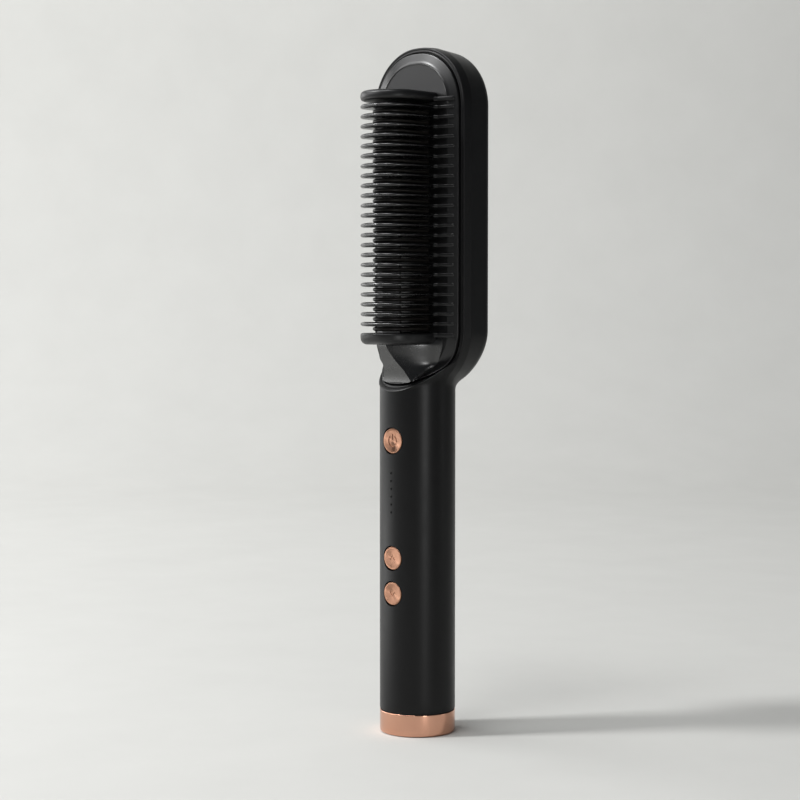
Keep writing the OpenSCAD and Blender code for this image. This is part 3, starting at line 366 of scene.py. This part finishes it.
print("stage: housing")
housingSet = dict(handleR=16.0, wall=2.2, wallLap=0.2, footZ=9.9, footEdge=0.3, shoulderZ=145.4, slope=34,
                  bendR=9.0, lipY=0.4, cornerX=1.2, lowZ=170.4, highZ=263.9, lipR=24.7, forwardR=22.9,
                  creaseR=25.0, creaseY=4.6, backR=24.05, backRunY=14.3, backY=19.3, edgeR=5.0, neckEdgeR=8.5,
                  blend=3.0, rimR=0.5, channel=0.16, cavityR=22.8, shelfR=21.3,
                  # mesh: columns outside and inside, the columns at which the crease runs, rows and arc steps
                  outCount=92, outCrease=44, inCount=40, inCrease=18, firstAngle=0.028, handleRows=28,
                  neckRows=46, headRows=10, arcSteps=36)
holeSet = dict(powerR=5.65, arrowR=5.3, lampR=0.45, lampTop=110.8, lampPitch=3.28, lamps=6, back=-7, front=-20)
hs = housingSet
slopeTan, slopeSin, slopeCos = tan(radians(hs["slope"])), sin(radians(hs["slope"])), cos(radians(hs["slope"]))
bendY = hs["lipY"] - hs["bendR"]
bendZ = hs["shoulderZ"] + slopeTan * (hs["handleR"] + bendY) + hs["bendR"] / slopeCos


def shoulderY(z, proud=0.0):
    # depth of the shoulder and lip surface at a height, or of one that stands proud of it
    r = hs["bendR"] - proud
    footY, footZ = bendY + r * slopeSin, bendZ - r * slopeCos
    if z >= bendZ:
        return bendY + r
    if z >= footZ:
        return bendY + sqrt(max(r * r - (z - bendZ) ** 2, 0))
    return footY + (z - footZ) / slopeTan


def coreGap(x, z):
    # distance from the head's core rectangle, seen from the front
    dx = max(abs(x) - hs["cornerX"], 0)
    dz = max(hs["lowZ"] - z, z - hs["highZ"], 0)
    return hypot(dx, dz)


def headRadius(y, z):
    # distance of the head's side from its core at a depth: lip, crease, drafted side and rounded back edge
    if y < hs["lipY"]:
        return hs["lipR"] - (hs["lipR"] - hs["forwardR"]) * smooth((hs["lipY"] - y) / 1.8)
    if y < hs["creaseY"]:
        return hs["lipR"] + (hs["creaseR"] - hs["lipR"]) * (y - hs["lipY"]) / (hs["creaseY"] - hs["lipY"])
    draft = (hs["creaseR"] - hs["backR"]) / (hs["backRunY"] - hs["creaseY"])
    edge = hs["edgeR"] + (hs["neckEdgeR"] - hs["edgeR"]) * smooth((hs["lowZ"] - z) / 20)
    turnY = hs["backY"] - edge
    side = hs["creaseR"] - draft * (min(y, turnY) - hs["creaseY"])
    if y < turnY:
        return side
    return side - edge + sqrt(max(edge * edge - (y - turnY) ** 2, 0))


def outsideOfHousing(x, y, z):
    # below zero inside the handle or the head, which are melted into each other
    tube = hypot(x, y) - hs["handleR"]
    head = max(coreGap(x, z) - headRadius(min(y, hs["backY"]), z), y - hs["backY"])
    return blendMin(tube, head, hs["blend"])


def housingRadius(angle, z):
    # angle is counted from the back
    return solve(lambda r: -outsideOfHousing(r * sin(angle), r * cos(angle), z), 0.0, 40.0)


def rimPoint(point, inward, proud):
    # a point moved over the shoulder surface towards the head's core
    x, z = point[0], point[2]
    cx, cz = min(x, hs["cornerX"]), min(max(z, hs["lowZ"]), hs["highZ"])
    far = hypot(x - cx, z - cz)
    nx, nz = (cx - x) / far, (cz - z) / far
    return (x + nx * inward, shoulderY(z + nz * inward, proud), z + nz * inward)


def housingRows():
    # heights of the rows outside and inside: handle, neck (crowded at its tip) and head
    tipOut = hs["shoulderZ"] - hs["rimR"] / slopeCos
    wall = hs["wall"]
    tipIn = hs["shoulderZ"] + slopeTan * wall - (wall + hs["wallLap"]) / slopeCos
    foot = [hs["footZ"] + hs["footEdge"] * t for t in (0, 0.2, 0.6, 1.0)]
    rows = [(z, z) for z in foot]
    for k in range(1, hs["handleRows"] + 1):
        t = k / hs["handleRows"]
        rows.append((foot[-1] + (tipOut - foot[-1]) * t, foot[-1] + (tipIn - foot[-1]) * t))
    tipRow = len(rows) - 1
    for k in range(1, hs["neckRows"] + 1):
        t = (k / hs["neckRows"]) ** 2
        rows.append((tipOut + (hs["lowZ"] - tipOut) * t, tipIn + (hs["lowZ"] - tipIn) * t))
    for k in range(1, hs["headRows"] + 1):
        z = hs["lowZ"] + (hs["highZ"] - hs["lowZ"]) * k / hs["headRows"]
        rows.append((z, z))
    return rows, tipRow


def housingSection(outZ, inZ, closed):
    # half section from the middle of the back, round the outside, over the rim and back along the inside;
    # closed sections lie below the tip of the shoulder and meet in front
    wall = hs["wall"]
    spread = smooth((outZ - 120) / 45)  # the first columns part towards the head's flat back

    def halfLoop(z, count, creaseAt, thin, proud):
        def radius(angle):
            r = housingRadius(angle, z) - thin
            if not thin and z < hs["footZ"] + hs["footEdge"]:
                drop = 1 - (z - hs["footZ"]) / hs["footEdge"]
                r -= hs["footEdge"] * (1 - sqrt(max(1 - drop * drop, 0)))
            return r
        front = pi if closed else solve(lambda a: radius(a) * cos(a) - shoulderY(z, proud), 1.3, pi)
        crease = solve(lambda a: radius(a) * cos(a) - hs["creaseY"], 0.6, front)
        angles = [0.0]
        for k in range(1, count):
            if k <= creaseAt:
                first = hs["firstAngle"] + (atan2(hs["cornerX"], radius(0)) - hs["firstAngle"]) * spread
                angles.append(first + (crease - first) * (k - 1) / (creaseAt - 1))
            else:
                angles.append(crease + (front - crease) * (k - creaseAt) / (count - 1 - creaseAt))
        return [(radius(a) * sin(a), radius(a) * cos(a), z) for a in angles]

    outside = halfLoop(outZ, hs["outCount"], hs["outCrease"], 0.0, -hs["rimR"])
    inside = halfLoop(inZ, hs["inCount"], hs["inCrease"], wall, -wall - hs["wallLap"])
    rim = outside[-1]
    # the corner is blunter where the rim runs over the handle
    reach = hs["rimR"] + 0.45 * smooth((158 - outZ) / 12)
    over = [rimPoint(rim, reach * (1 - cos(t)), -hs["rimR"] * (1 - sin(t)))
            for t in (0.4, 0.8, 1.2, pi / 2)]
    edge = over[-1]
    inward = max(coreGap(edge[0], edge[2]) - hs["cavityR"], 0.25)
    channel = hs["channel"]
    # the lip's ledge with its fine channel, then the step down to the shelf that carries the comb's base plate
    ledge = [rimPoint(edge, inward * t, deep) for t, deep in
             ((0.2, 0.0), (0.32, -0.7 * channel), (0.44, -channel), (0.56, -0.7 * channel), (0.68, 0.0),
              (0.92, 0.0), (1.0, -0.07))]
    deep = -0.8 if outZ > bendZ else -1.0
    shelf = coreGap(edge[0], edge[2]) - hs["shelfR"]
    step = [rimPoint(edge, aside, down) for aside, down in
            ((inward + 0.08, -0.12), (inward + 0.1, deep), (shelf, deep), (shelf, deep - 1.5),
             (inward + 0.1, deep - 1.5))]
    return outside + over + ledge + step + inside[::-1]


def buildHousing():
    rows, tipRow = housingRows()
    sections = [housingSection(*row, k <= tipRow) for k, row in enumerate(rows)]
    half, straight, arcSteps = len(sections[0]) - 1, len(rows), hs["arcSteps"]
    outCount, inStart = hs["outCount"], half + 1 - hs["inCount"]

    def place(i, j):
        c, side = abs(i - half), (1 if i >= half else -1)
        if j < straight:
            x, y, z = sections[j][c]
            return (x * side, y, z)
        x, y, z = sections[-1][c]
        cornerX = hs["cornerX"]
        arm = x - cornerX
        if j >= straight + arcSteps:
            return (0, y, hs["highZ"] + max(arm, 0))
        beta = (j - straight + 1) / arcSteps * pi / 2
        if arm <= 1e-6:
            return (x * side, y, z)
        return (side * (cornerX + arm * cos(beta)), y, hs["highZ"] + arm * sin(beta))

    bm = bmesh.new()
    # the two halves of the grid meet in its middle column, and its two outer columns are the inside's middle
    formGrid(bm, 2 * half + 1, straight + arcSteps + 1, place)
    bm.faces.ensure_lookup_table()
    # below the tip of the shoulder the outside and the inside are two plain tubes
    columns = 2 * half
    lost = [f for k, f in enumerate(bm.faces) if k // columns < tipRow
            and outCount - 1 <= (abs((k % columns) - half + 0.5) - 0.5) < inStart]
    bmesh.ops.delete(bm, geom=lost, context="FACES")
    bmesh.ops.remove_doubles(bm, verts=bm.verts, dist=1e-4)
    bmesh.ops.dissolve_degenerate(bm, edges=bm.edges, dist=1e-5)
    foot = [e for e in bm.edges if e.is_boundary and max(v.co.z for v in e.verts) < hs["footZ"] + 0.01]
    bmesh.ops.bridge_loops(bm, edges=foot)
    openEdges = sum(e.is_boundary for e in bm.edges)
    print("housing shell: open edges", openEdges, "bad edges", sum(not e.is_manifold for e in bm.edges))

    holes, h = bmesh.new(), holeSet
    for z, r in ((powerPlace, h["powerR"]), (upPlace, h["arrowR"]), (downPlace, h["arrowR"])):
        roundBar(holes, r, h["back"], h["front"], (0, z), 96)
    for k in range(h["lamps"]):
        roundBar(holes, h["lampR"], h["back"], h["front"], (0, h["lampTop"] - h["lampPitch"] * k), 32)
    return carve(bm, holes)


finishPiece("housing.shell", buildHousing(), finishes["soft_black"], "brush", ["housing"],
            sharp=38)

print("stage: comb")
combSet = dict(plateR=22.25, flatR=17.75, flatY=-2.0, edgeY=-0.5, innerR=4.0, restY=1.2, skirtOut=20.9,
               skirtIn=19.5, skirtY=5.5, backY=-0.2, sheet=0.9, windowX=8.7, windowLow=169.34,
               windowHigh=265.26,
               # rows of the front: distance from the core, and where given how far it stands back
               flatRows=(7.0, 10.0, 12.5, 14.5, 16.2, 17.2), borderRows=(19.2, 20.3, 21.2, 21.8, 22.0),
               ridge=[(17.42, 0.0), (17.55, -0.09), (17.68, -0.2), (17.8, -0.24), (17.92, -0.2), (18.05, -0.09),
                      (18.2, 0.0)], ridgeLow=258, ridgeFade=6,
               edgeRound=[(22.13, 0.05), (22.22, 0.16), (22.25, 0.32)], plainR=15.5,
               sideSteps=14, topSteps=32, lowSteps=48)
cs = combSet


def plateFront(r, z):
    # front surface of the base plate: flat middle, sloping border, and the sheet over the shoulder
    slope = (cs["edgeY"] - cs["flatY"]) / (cs["plateR"] - cs["flatR"])
    y = max(cs["flatY"], cs["flatY"] + (r - cs["flatR"]) * slope)
    return blendMin(y, shoulderY(z, cs["sheet"]), 0.8) if z < bendZ + 6 else y


def outlineStations():
    # places round the head's outline: foot point on the core and outward direction
    x, low, high = hs["cornerX"], hs["lowZ"], hs["highZ"]
    side, top, foot = cs["sideSteps"], cs["topSteps"], cs["lowSteps"]
    stations = [((x, low + (high - low) * k / side), (1, 0)) for k in range(side + 1)]
    stations += [((x, high), (cos(k / top * pi / 2), sin(k / top * pi / 2))) for k in range(1, top + 1)]
    stations += [((-x, high), (-sin(k / top * pi / 2), cos(k / top * pi / 2))) for k in range(top + 1)]
    stations += [((-x, high - (high - low) * k / side), (-1, 0)) for k in range(1, side + 1)]
    stations += [((-x, low), (-cos(k / foot * pi / 2), -sin(k / foot * pi / 2))) for k in range(1, foot + 1)]
    stations += [((x, low), (sin(k / foot * pi / 2), -cos(k / foot * pi / 2))) for k in range(foot + 1)]
    return stations


def buildPlate():
    stations = outlineStations()
    front = [(r, 0.0) for r in (cs["innerR"], *cs["flatRows"])] + cs["ridge"]
    front += [(r, 0.0) for r in cs["borderRows"]] + cs["edgeRound"]
    behind = [(cs["plateR"], cs["restY"]), (cs["skirtOut"], cs["restY"]), (cs["skirtOut"], cs["skirtY"]),
              (cs["skirtIn"], cs["skirtY"]), (cs["skirtIn"], cs["backY"]), (12.0, cs["backY"]),
              (cs["innerR"], cs["backY"])]
    count = len(front) + len(behind)

    def place(i, j):
        i %= count
        (cx, cz), (dx, dz) = stations[j % len(stations)]
        r = (front + behind)[i][0]
        x, z = cx + r * dx, cz + r * dz
        if i < len(front):
            lift = front[i][1]
            if lift < 0:  # the ridge runs round the top of the plate only
                lift *= smooth((z - cs["ridgeLow"]) / cs["ridgeFade"])
            y = plateFront(r, z) + lift
        else:
            y = min(behind[i - len(front)][1], shoulderY(z, -cs["sheet"]) if z < bendZ else 9)
        return (x, y, z)

    bm = bmesh.new()
    formGrid(bm, count + 1, len(stations) + 1, place)
    window = bmesh.new()
    block(window, (-cs["windowX"], -4, cs["windowLow"]), (cs["windowX"], 3, cs["windowHigh"]))
    bm = carve(bm, window)
    # the flat middle becomes one clean face
    flat = [v for v in bm.verts
            if abs(v.co.y - cs["flatY"]) < 1e-3 and coreGap(v.co.x, v.co.z) < cs["plainR"]]
    inside = set(flat)
    bmesh.ops.dissolve_limit(bm, angle_limit=radians(0.2), verts=flat,
                             edges=[e for e in bm.edges if inside.issuperset(e.verts)])
    return bm


finishPiece("comb.plate", buildPlate(), finishes["comb_black"], "brush", ["comb_guard"],
            sharp=60)

# levels: height, half width of the facet, reach in front, half width at the root
fairingSet = dict(levels=[(147.31, 8.8, 12.4, 9.9), (153.44, 5.9, 14.3, 12.4), (158.99, 3.6, 18.4, 15.0),
                          (164.54, 2.4, 21.8, 17.0)], hollow=2.0, low=148.22, high=164.54, fadeTo=169.2,
                  rows=40, crowd=1.15, fadeRows=7, facetCount=5, flankCount=22, proud=0.06, sheet=0.9)


def buildFairing():
    # narrow front facet with a hollow flank at each side, which fades out under the lowest fin
    fs = fairingSet
    count, fadeCount = fs["rows"], fs["fadeRows"]
    rows = [fs["low"] + (fs["high"] - fs["low"]) * (k / count) ** fs["crowd"] for k in range(count + 1)]
    rows += [fs["high"] + (fs["fadeTo"] - fs["high"]) * k / fadeCount for k in range(1, fadeCount + 1)]
    facetCount, flankCount = fs["facetCount"], fs["flankCount"]
    half = facetCount + flankCount

    def frontPoint(c, z):
        facet, reach, root = alongLine(fs["levels"], z)
        outline = hs["cornerX"] + sqrt(max(cs["plateR"] ** 2 - (hs["lowZ"] - z) ** 2, 0)) - 0.03
        if z > hs["lowZ"]:
            outline = cs["plateR"]
        facetX, rootX = min(facet, outline), min(root, outline)
        if c <= facetCount:
            x = facetX * c / facetCount
        else:
            x = facetX + (rootX - facetX) * (c - facetCount) / flankCount
        ground = plateFront(coreGap(x, z), z)
        rise = -reach - ground
        if x > facet:
            edgeGround = plateFront(coreGap(facetX, z), z)
            rise = (-reach - edgeGround) * max((root - x) / (root - facet), 0) ** fs["hollow"]
        fade = 1 - smooth((z - fs["high"]) / (fs["fadeTo"] - fs["high"]))
        y = ground + min(rise, 0) * fade
        return x, y + fs["proud"], ground

    bm = bmesh.new()
    columns = 2 * half + 1

    def place(i, j):
        i %= 2 * columns
        back = i >= columns
        c = i - half if not back else half - (i - columns)
        x, y, ground = frontPoint(abs(c), rows[j])
        return (x if c >= 0 else -x, ground + fs["sheet"] if back else y, rows[j])

    formGrid(bm, 2 * columns + 1, len(rows), place)
    bmesh.ops.remove_doubles(bm, verts=bm.verts, dist=1e-4)
    bmesh.ops.dissolve_degenerate(bm, edges=bm.edges, dist=1e-4)
    bmesh.ops.holes_fill(bm, edges=[e for e in bm.edges if e.is_boundary], sides=0)
    return bm


finishPiece("comb.fairing", buildFairing(), finishes["comb_neck"], "brush", sharp=30)

# tip and root are thicknesses; the fin thins from swell to neck, counted back from its front
ribSet = dict(count=23, firstZ=173.12, pitch=4.08, half=13.2, reach=28.6, tip=1.9, root=1.2, swell=3.5,
              neck=10.5, bead=1.7, rootY=-1.9)
bladeSet = dict(count=23, firstZ=171.08, pitch=4.08, half=8.0, reach=23.6, tip=1.8, root=1.5, swell=3.0,
                neck=8.0, bead=1.4, rootY=-1.0)


def buildFin(bm, fin, z):
    # one fin: a rounded section turned round the front and drawn back to the plate
    first = len(bm.verts)
    half, reach, bead = fin["half"], fin["reach"], fin["bead"]
    middleY = -reach + half
    rim = [(half - bead * (1 - cos(t)), 0.5 * sin(t)) for t in [k / 7 * pi / 2 for k in range(7, -1, -1)]]
    upper = [(0, 0.5), (half * 0.5, 0.5), (half - bead - 0.8, 0.5)] + rim
    line = upper + [(r, -h) for r, h in upper[-2::-1]]
    turnProfile(bm, line, steps=26, angle=pi, middle=(0, middleY, 0), start=pi)
    bmesh.ops.remove_doubles(bm, verts=list(bm.verts)[first:], dist=1e-5)
    bm.verts.index_update()
    ends = [e for e in bm.edges if e.is_boundary and all(abs(v.co.y - middleY) < 1e-4 for v in e.verts)
            and e.verts[0].index >= first]
    drawBack(bm, ends, (middleY * 0.55, -4.2, fin["rootY"]))
    for v in list(bm.verts)[first:]:
        slim = smooth((v.co.y + reach - fin["swell"]) / (fin["neck"] - fin["swell"]))
        thick = fin["tip"] + (fin["root"] - fin["tip"]) * slim
        v.co.z = z + v.co.z * thick


# plan: how far aside and how far forward each corner lies
footSet = dict(thick=1.3, bevel=0.28, backY=-0.2,
               plan=[(13.0, -4.4), (14.4, -3.25), (20.6, -2.2), (21.8, -1.35)])


def buildFoot(bm, z, side, thick):
    # low bevelled block that carries a fin's root sideways over the plate
    made = bmesh.ops.create_grid(bm, x_segments=3, y_segments=1, size=1)["verts"]
    for v in made:
        aside, forward = footSet["plan"][round((v.co.x + 1) / 2 * 3)]
        v.co = (side * aside, forward if v.co.y > 0 else footSet["backY"], z - thick / 2)
    faces = list({f for v in made for f in v.link_faces})
    grown = bmesh.ops.extrude_face_region(bm, geom=faces)["geom"]
    top = [g for g in grown if isinstance(g, bmesh.types.BMVert)]
    bmesh.ops.translate(bm, verts=top, vec=(0, 0, thick))
    edges = [e for e in {e for v in made + top for e in v.link_edges}
             if min(v.co.y for v in e.verts) < -0.5 and e.calc_face_angle(0) > 0.5]
    bmesh.ops.bevel(bm, geom=edges, offset=footSet["bevel"], offset_type="OFFSET", affect="EDGES", segments=2,
                    profile=0.5, material=-1, clamp_overlap=True)


def buildRow(fin):
    bm = bmesh.new()
    for k in range(fin["count"]):
        buildFin(bm, fin, fin["firstZ"] + fin["pitch"] * k)
    return bm


finishPiece("comb.ribs", buildRow(ribSet), finishes["comb_rims"], "brush")

feet = bmesh.new()
for k in range(ribSet["count"]):
    for side in (-1, 1):
        buildFoot(feet, ribSet["firstZ"] + ribSet["pitch"] * k, side, footSet["thick"])
finishPiece("comb.feet", feet, finishes["comb_black"], "brush")

# t is the thickness, low and high the roundings of the front edge; over run the lower fin's front rises by rise
endFinSet = dict(upper=dict(z=265.26, t=4.1, low=1.7, high=2.2, run=0.0, rise=0.0),
                 lower=dict(z=164.54, t=4.8, low=2.9, high=0.9, run=7.0, rise=3.7))


def buildEndFin(bm, fin):
    half, reach, t = ribSet["half"], ribSet["reach"], fin["t"]
    middleY = -reach + half
    line = softLine([(0, 0), (half * 0.6, 0), (half, 0, fin["low"]), (half, t, fin["high"]), (half * 0.6, t),
                     (0, t)], 6)
    turnProfile(bm, line, steps=40, angle=pi, middle=(0, middleY, 0), start=pi)
    bmesh.ops.remove_doubles(bm, verts=bm.verts, dist=1e-5)
    ends = [e for e in bm.edges if e.is_boundary]
    drawBack(bm, ends, (middleY * 0.8, middleY * 0.6, middleY * 0.3, ribSet["rootY"]))
    for v in bm.verts:
        lift = 0.0
        if fin["run"]:
            u = min(max((v.co.y + reach) / fin["run"], 0), 1)
            lift = fin["rise"] * (1 - sqrt(max(2 * u - u * u, 0)))
        v.co.z = fin["z"] + lift + v.co.z * (t - lift) / t


for name, fin in endFinSet.items():
    bm = bmesh.new()
    buildEndFin(bm, fin)
    for side in (-1, 1):
        footThick = fin["t"] - max(fin["low"], fin["high"]) - 0.1
        footZ = fin["z"] + footThick / 2 if name == "upper" else fin["z"] + fin["t"] - footThick / 2
        buildFoot(bm, footZ, side, footThick)
    finishPiece("comb.fin." + name, bm, finishes["comb_ends"], "brush")

print("stage: heated blades")
slabSet = dict(padHalf=8.4, padLow=169.64, padHigh=264.96, padY=-1.7, slabHalf=13.0, slabLow=166.94,
               slabHigh=267.66, slabFront=-0.1, slabBack=2.6, lap=0.4)
sl = slabSet
heated = buildRow(bladeSet)
block(heated, (-sl["padHalf"], sl["padY"], sl["padLow"]),
      (sl["padHalf"], sl["slabFront"] + sl["lap"], sl["padHigh"]), bevel=0.25)
block(heated, (-sl["slabHalf"], sl["slabFront"], sl["slabLow"]),
      (sl["slabHalf"], sl["slabBack"], sl["slabHigh"]), bevel=0.4)
finishPiece("heated.comb", heated, finishes["coated_aluminium"], "brush", ["heated_comb"])

print("stage: buttons")
buttonSet = dict(faceY=-15.3, dish=0.25, edge=0.32, rimW=0.8, flangeLap=0.9, flangeT=0.8, flangeGap=0.1,
                 boreR=13.8, stemR=2.0, markDepth=0.16, markW=0.6, markR=1.9, arrowHalf=1.35, arrowTip=0.85,
                 arrowW=0.846)
bs = buttonSet


def buildButton(node, capD, z, marks):
    # the cap is drawn with its face forward, then turned to face the front of the handle
    face, half = -bs["faceY"], capD / 2
    flangeR, rim = half + bs["flangeLap"], half - bs["rimW"]
    flangeFront = sqrt(bs["boreR"] ** 2 - flangeR ** 2) - bs["flangeGap"]
    tip = -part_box(node)[1].y / mm
    line = softLine([(0, tip), (bs["stemR"], tip, 0.2), (bs["stemR"], flangeFront - bs["flangeT"]),
                     (flangeR, flangeFront - bs["flangeT"], 0.1), (flangeR, flangeFront, 0.1),
                     (half, flangeFront), (half, face, bs["edge"]), (rim, face)])
    line += [Vector((rim * t, face - bs["dish"] * (1 - t ** 1.6)))
             for t in (0.93, 0.85, 0.75, 0.6, 0.45, 0.3, 0.15, 0)]
    bm = bmesh.new()
    turnProfile(bm, line)
    cutter = bmesh.new()
    marks(cutter, face - bs["dish"] - bs["markDepth"])
    bm = carve(bm, cutter)
    bmesh.ops.rotate(bm, cent=(0, 0, 0), matrix=Matrix.Rotation(pi / 2, 3, "X"), verts=bm.verts)
    bmesh.ops.translate(bm, verts=bm.verts, vec=(0, 0, z))
    return bm


def powerMark(bm, floor):
    # an open ring and an upright bar, as a cutter that starts at the floor of the mark
    r, w = bs["markR"], bs["markW"]
    ring = [(r, floor), (r + w, floor), (r + w, floor + 1), (r, floor + 1), (r, floor)]
    turnProfile(bm, ring, steps=60, angle=radians(290), start=radians(125))
    bmesh.ops.remove_doubles(bm, verts=bm.verts, dist=1e-5)
    bmesh.ops.holes_fill(bm, edges=[e for e in bm.edges if e.is_boundary], sides=0)
    block(bm, (-w / 2, 0.4, floor), (w / 2, 2.8, floor + 1))


def arrowMark(sign):
    # a bent strip, raised into a cutter
    def draw(bm, floor):
        half, tip, w = bs["arrowHalf"], bs["arrowTip"], bs["arrowW"]
        formGrid(bm, 3, 2, lambda i, j: (half * (i - 1), sign * (tip - half * abs(i - 1)) + w * (j - 0.5),
                                         floor))
        grown = bmesh.ops.extrude_face_region(bm, geom=list(bm.faces))["geom"]
        bmesh.ops.translate(bm, verts=[g for g in grown if isinstance(g, bmesh.types.BMVert)], vec=(0, 0, 1))
    return draw


for node, body, capD, z, finish, marks in (
        ("power_button", "power_key", 10.6, powerPlace, "rose_power", powerMark),
        ("up_button", "up_key", 9.9, upPlace, "rose_up", arrowMark(1)),
        ("down_button", "down_key", 9.9, downPlace, "rose_down", arrowMark(-1))):
    finishPiece("button." + node.split("_")[0], buildButton(node, capD, z, marks), finishes[finish], body,
                [node], sharp=30)

print("stage: end cap")
capSet = dict(r=16.0, top=9.4, edge=1.2, topEdge=0.3, bore=14.8, floor=1.4, portGap=0.15)


def buildCap():
    s = capSet
    line = softLine([(0, s["floor"]), (s["bore"], s["floor"]), (s["bore"], s["top"]),
                     (s["r"], s["top"], s["topEdge"]), (s["r"], 0, s["edge"]), (s["r"] - 3, 0), (0, 0)], 6)
    bm = bmesh.new()
    turnProfile(bm, line, steps=128)
    # the slot for the charging port: a round cutter drawn apart to both sides
    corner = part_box("charging_port")[1]
    halfW, halfH = corner.x / mm + s["portGap"], corner.y / mm + s["portGap"]
    slot = bmesh.new()
    bmesh.ops.create_cone(slot, cap_ends=True, segments=48, radius1=halfH, radius2=halfH, depth=6)
    for v in slot.verts:
        v.co.x += (halfW - halfH) * (1 if v.co.x > 0 else -1)
    return carve(bm, slot)


finishPiece("end.cap", buildCap(), finishes["rose_cap"], "brush", ["end_cap"], sharp=30)

print("stage: floor, backdrop and light")
stageSet = dict(floor="#cacac7", floor2="#c3c3c0", wallAway=1.5, bend=0.5, wide=5.0, tall=2.6,
                floorRows=(-2.6, -1.2, -0.4, 0.3))


def buildStage():
    # one sheet: floor that bends up into the backdrop, across the camera's line of sight
    s = stageSet
    away, bend = s["wallAway"], s["bend"]
    path = [(y, 0) for y in (*s["floorRows"], away - bend)]
    path += [(away - bend + bend * sin(t), bend - bend * cos(t))
             for t in [k / 12 * pi / 2 for k in range(1, 13)]]
    path += [(away, s["tall"])]
    bm = bmesh.new()
    formGrid(bm, 9, len(path), lambda i, j: ((i / 8 - 0.5) * s["wide"], path[j][0], path[j][1]))
    turn = Matrix.Rotation(radians(cameraSet["heading"]), 3, "Z")
    bmesh.ops.rotate(bm, cent=(0, 0, 0), matrix=turn, verts=bm.verts)
    bmesh.ops.recalc_face_normals(bm, faces=bm.faces)
    mesh = bpy.data.meshes.new("studioSheet")
    bm.to_mesh(mesh)
    bm.free()
    mesh.shade_smooth()
    # pale background paper: dull, with faint slow tone changes
    paper = makeFinish("paperSweep", s["floor"], s["floor2"], 0.85, 0.04, patch=60, grain=1.5, grainDepth=0.03,
                       specular=0.2)
    mesh.materials.append(paper)
    sheet = bpy.data.objects.new("studioSheet", mesh)
    scene.collection.objects.link(sheet)


buildStage()

# (azimuth, height) seen from the object, with 0 at its front and the camera at 44; distance, size and power
lampSet = dict(
    keyLeft=((-37, 47), 1.9, (0.24, 0.24), 24.0),
    softUpper=((-72, 42), 1.8, (0.9, 0.6), 7.0),
    softFront=((-35, 27), 1.9, (1.0, 0.5), 6.0),
    panelFront=((-46, 16), 1.9, (0.8, 0.34), 3.4),
    leftBack=((-80, 11), 1.8, (1.1, 0.66), 8.5),
    stripRight=((66, -2), 1.2, (0.12, 0.22), 2.0),
    stripEdge=((126, -3), 1.2, (0.06, 0.22), 0.25),
    topSoft=((8, 64), 1.3, (0.5, 0.3), 7.0),
    lowCard=((-57, -19), 0.4, (0.3, 0.08), 0.22),
)
# washes the backdrop and leaves the object alone
wallWash = dict(place=(-0.45, 0.45, 1.4), aim=(-0.7, 0.72, -0.35), size=(1.2, 0.6), power=7.0)
airSet = dict(tone=(0.92, 0.96, 1.0, 1), strength=0.12)


def addLamp(name, place, aim, size, power):
    lamp = bpy.data.lights.new(name, "AREA")
    lamp.shape, lamp.size, lamp.size_y, lamp.energy = "RECTANGLE", size[0], size[1], power
    holder = bpy.data.objects.new(name, lamp)
    holder.location = place
    holder.rotation_euler = Vector(aim).to_track_quat("-Z", "Y").to_euler()
    scene.collection.objects.link(holder)


middle = Vector((0, 0, 0.15))
for name, ((azimuth, height), away, size, power) in lampSet.items():
    a, h = radians(azimuth), radians(height)
    towards = Vector((sin(a) * cos(h), -cos(a) * cos(h), sin(h)))
    addLamp(name, middle + towards * away, -towards, size, power)
addLamp("wallWash", **wallWash)

world = bpy.data.worlds.new("studioAir")
world.use_nodes = True
air = world.node_tree.nodes["Background"].inputs
air["Color"].default_value, air["Strength"].default_value = airSet["tone"], airSet["strength"]
scene.world = world
scene.view_settings.view_transform = "Standard"

bpy.context.view_layer.update()
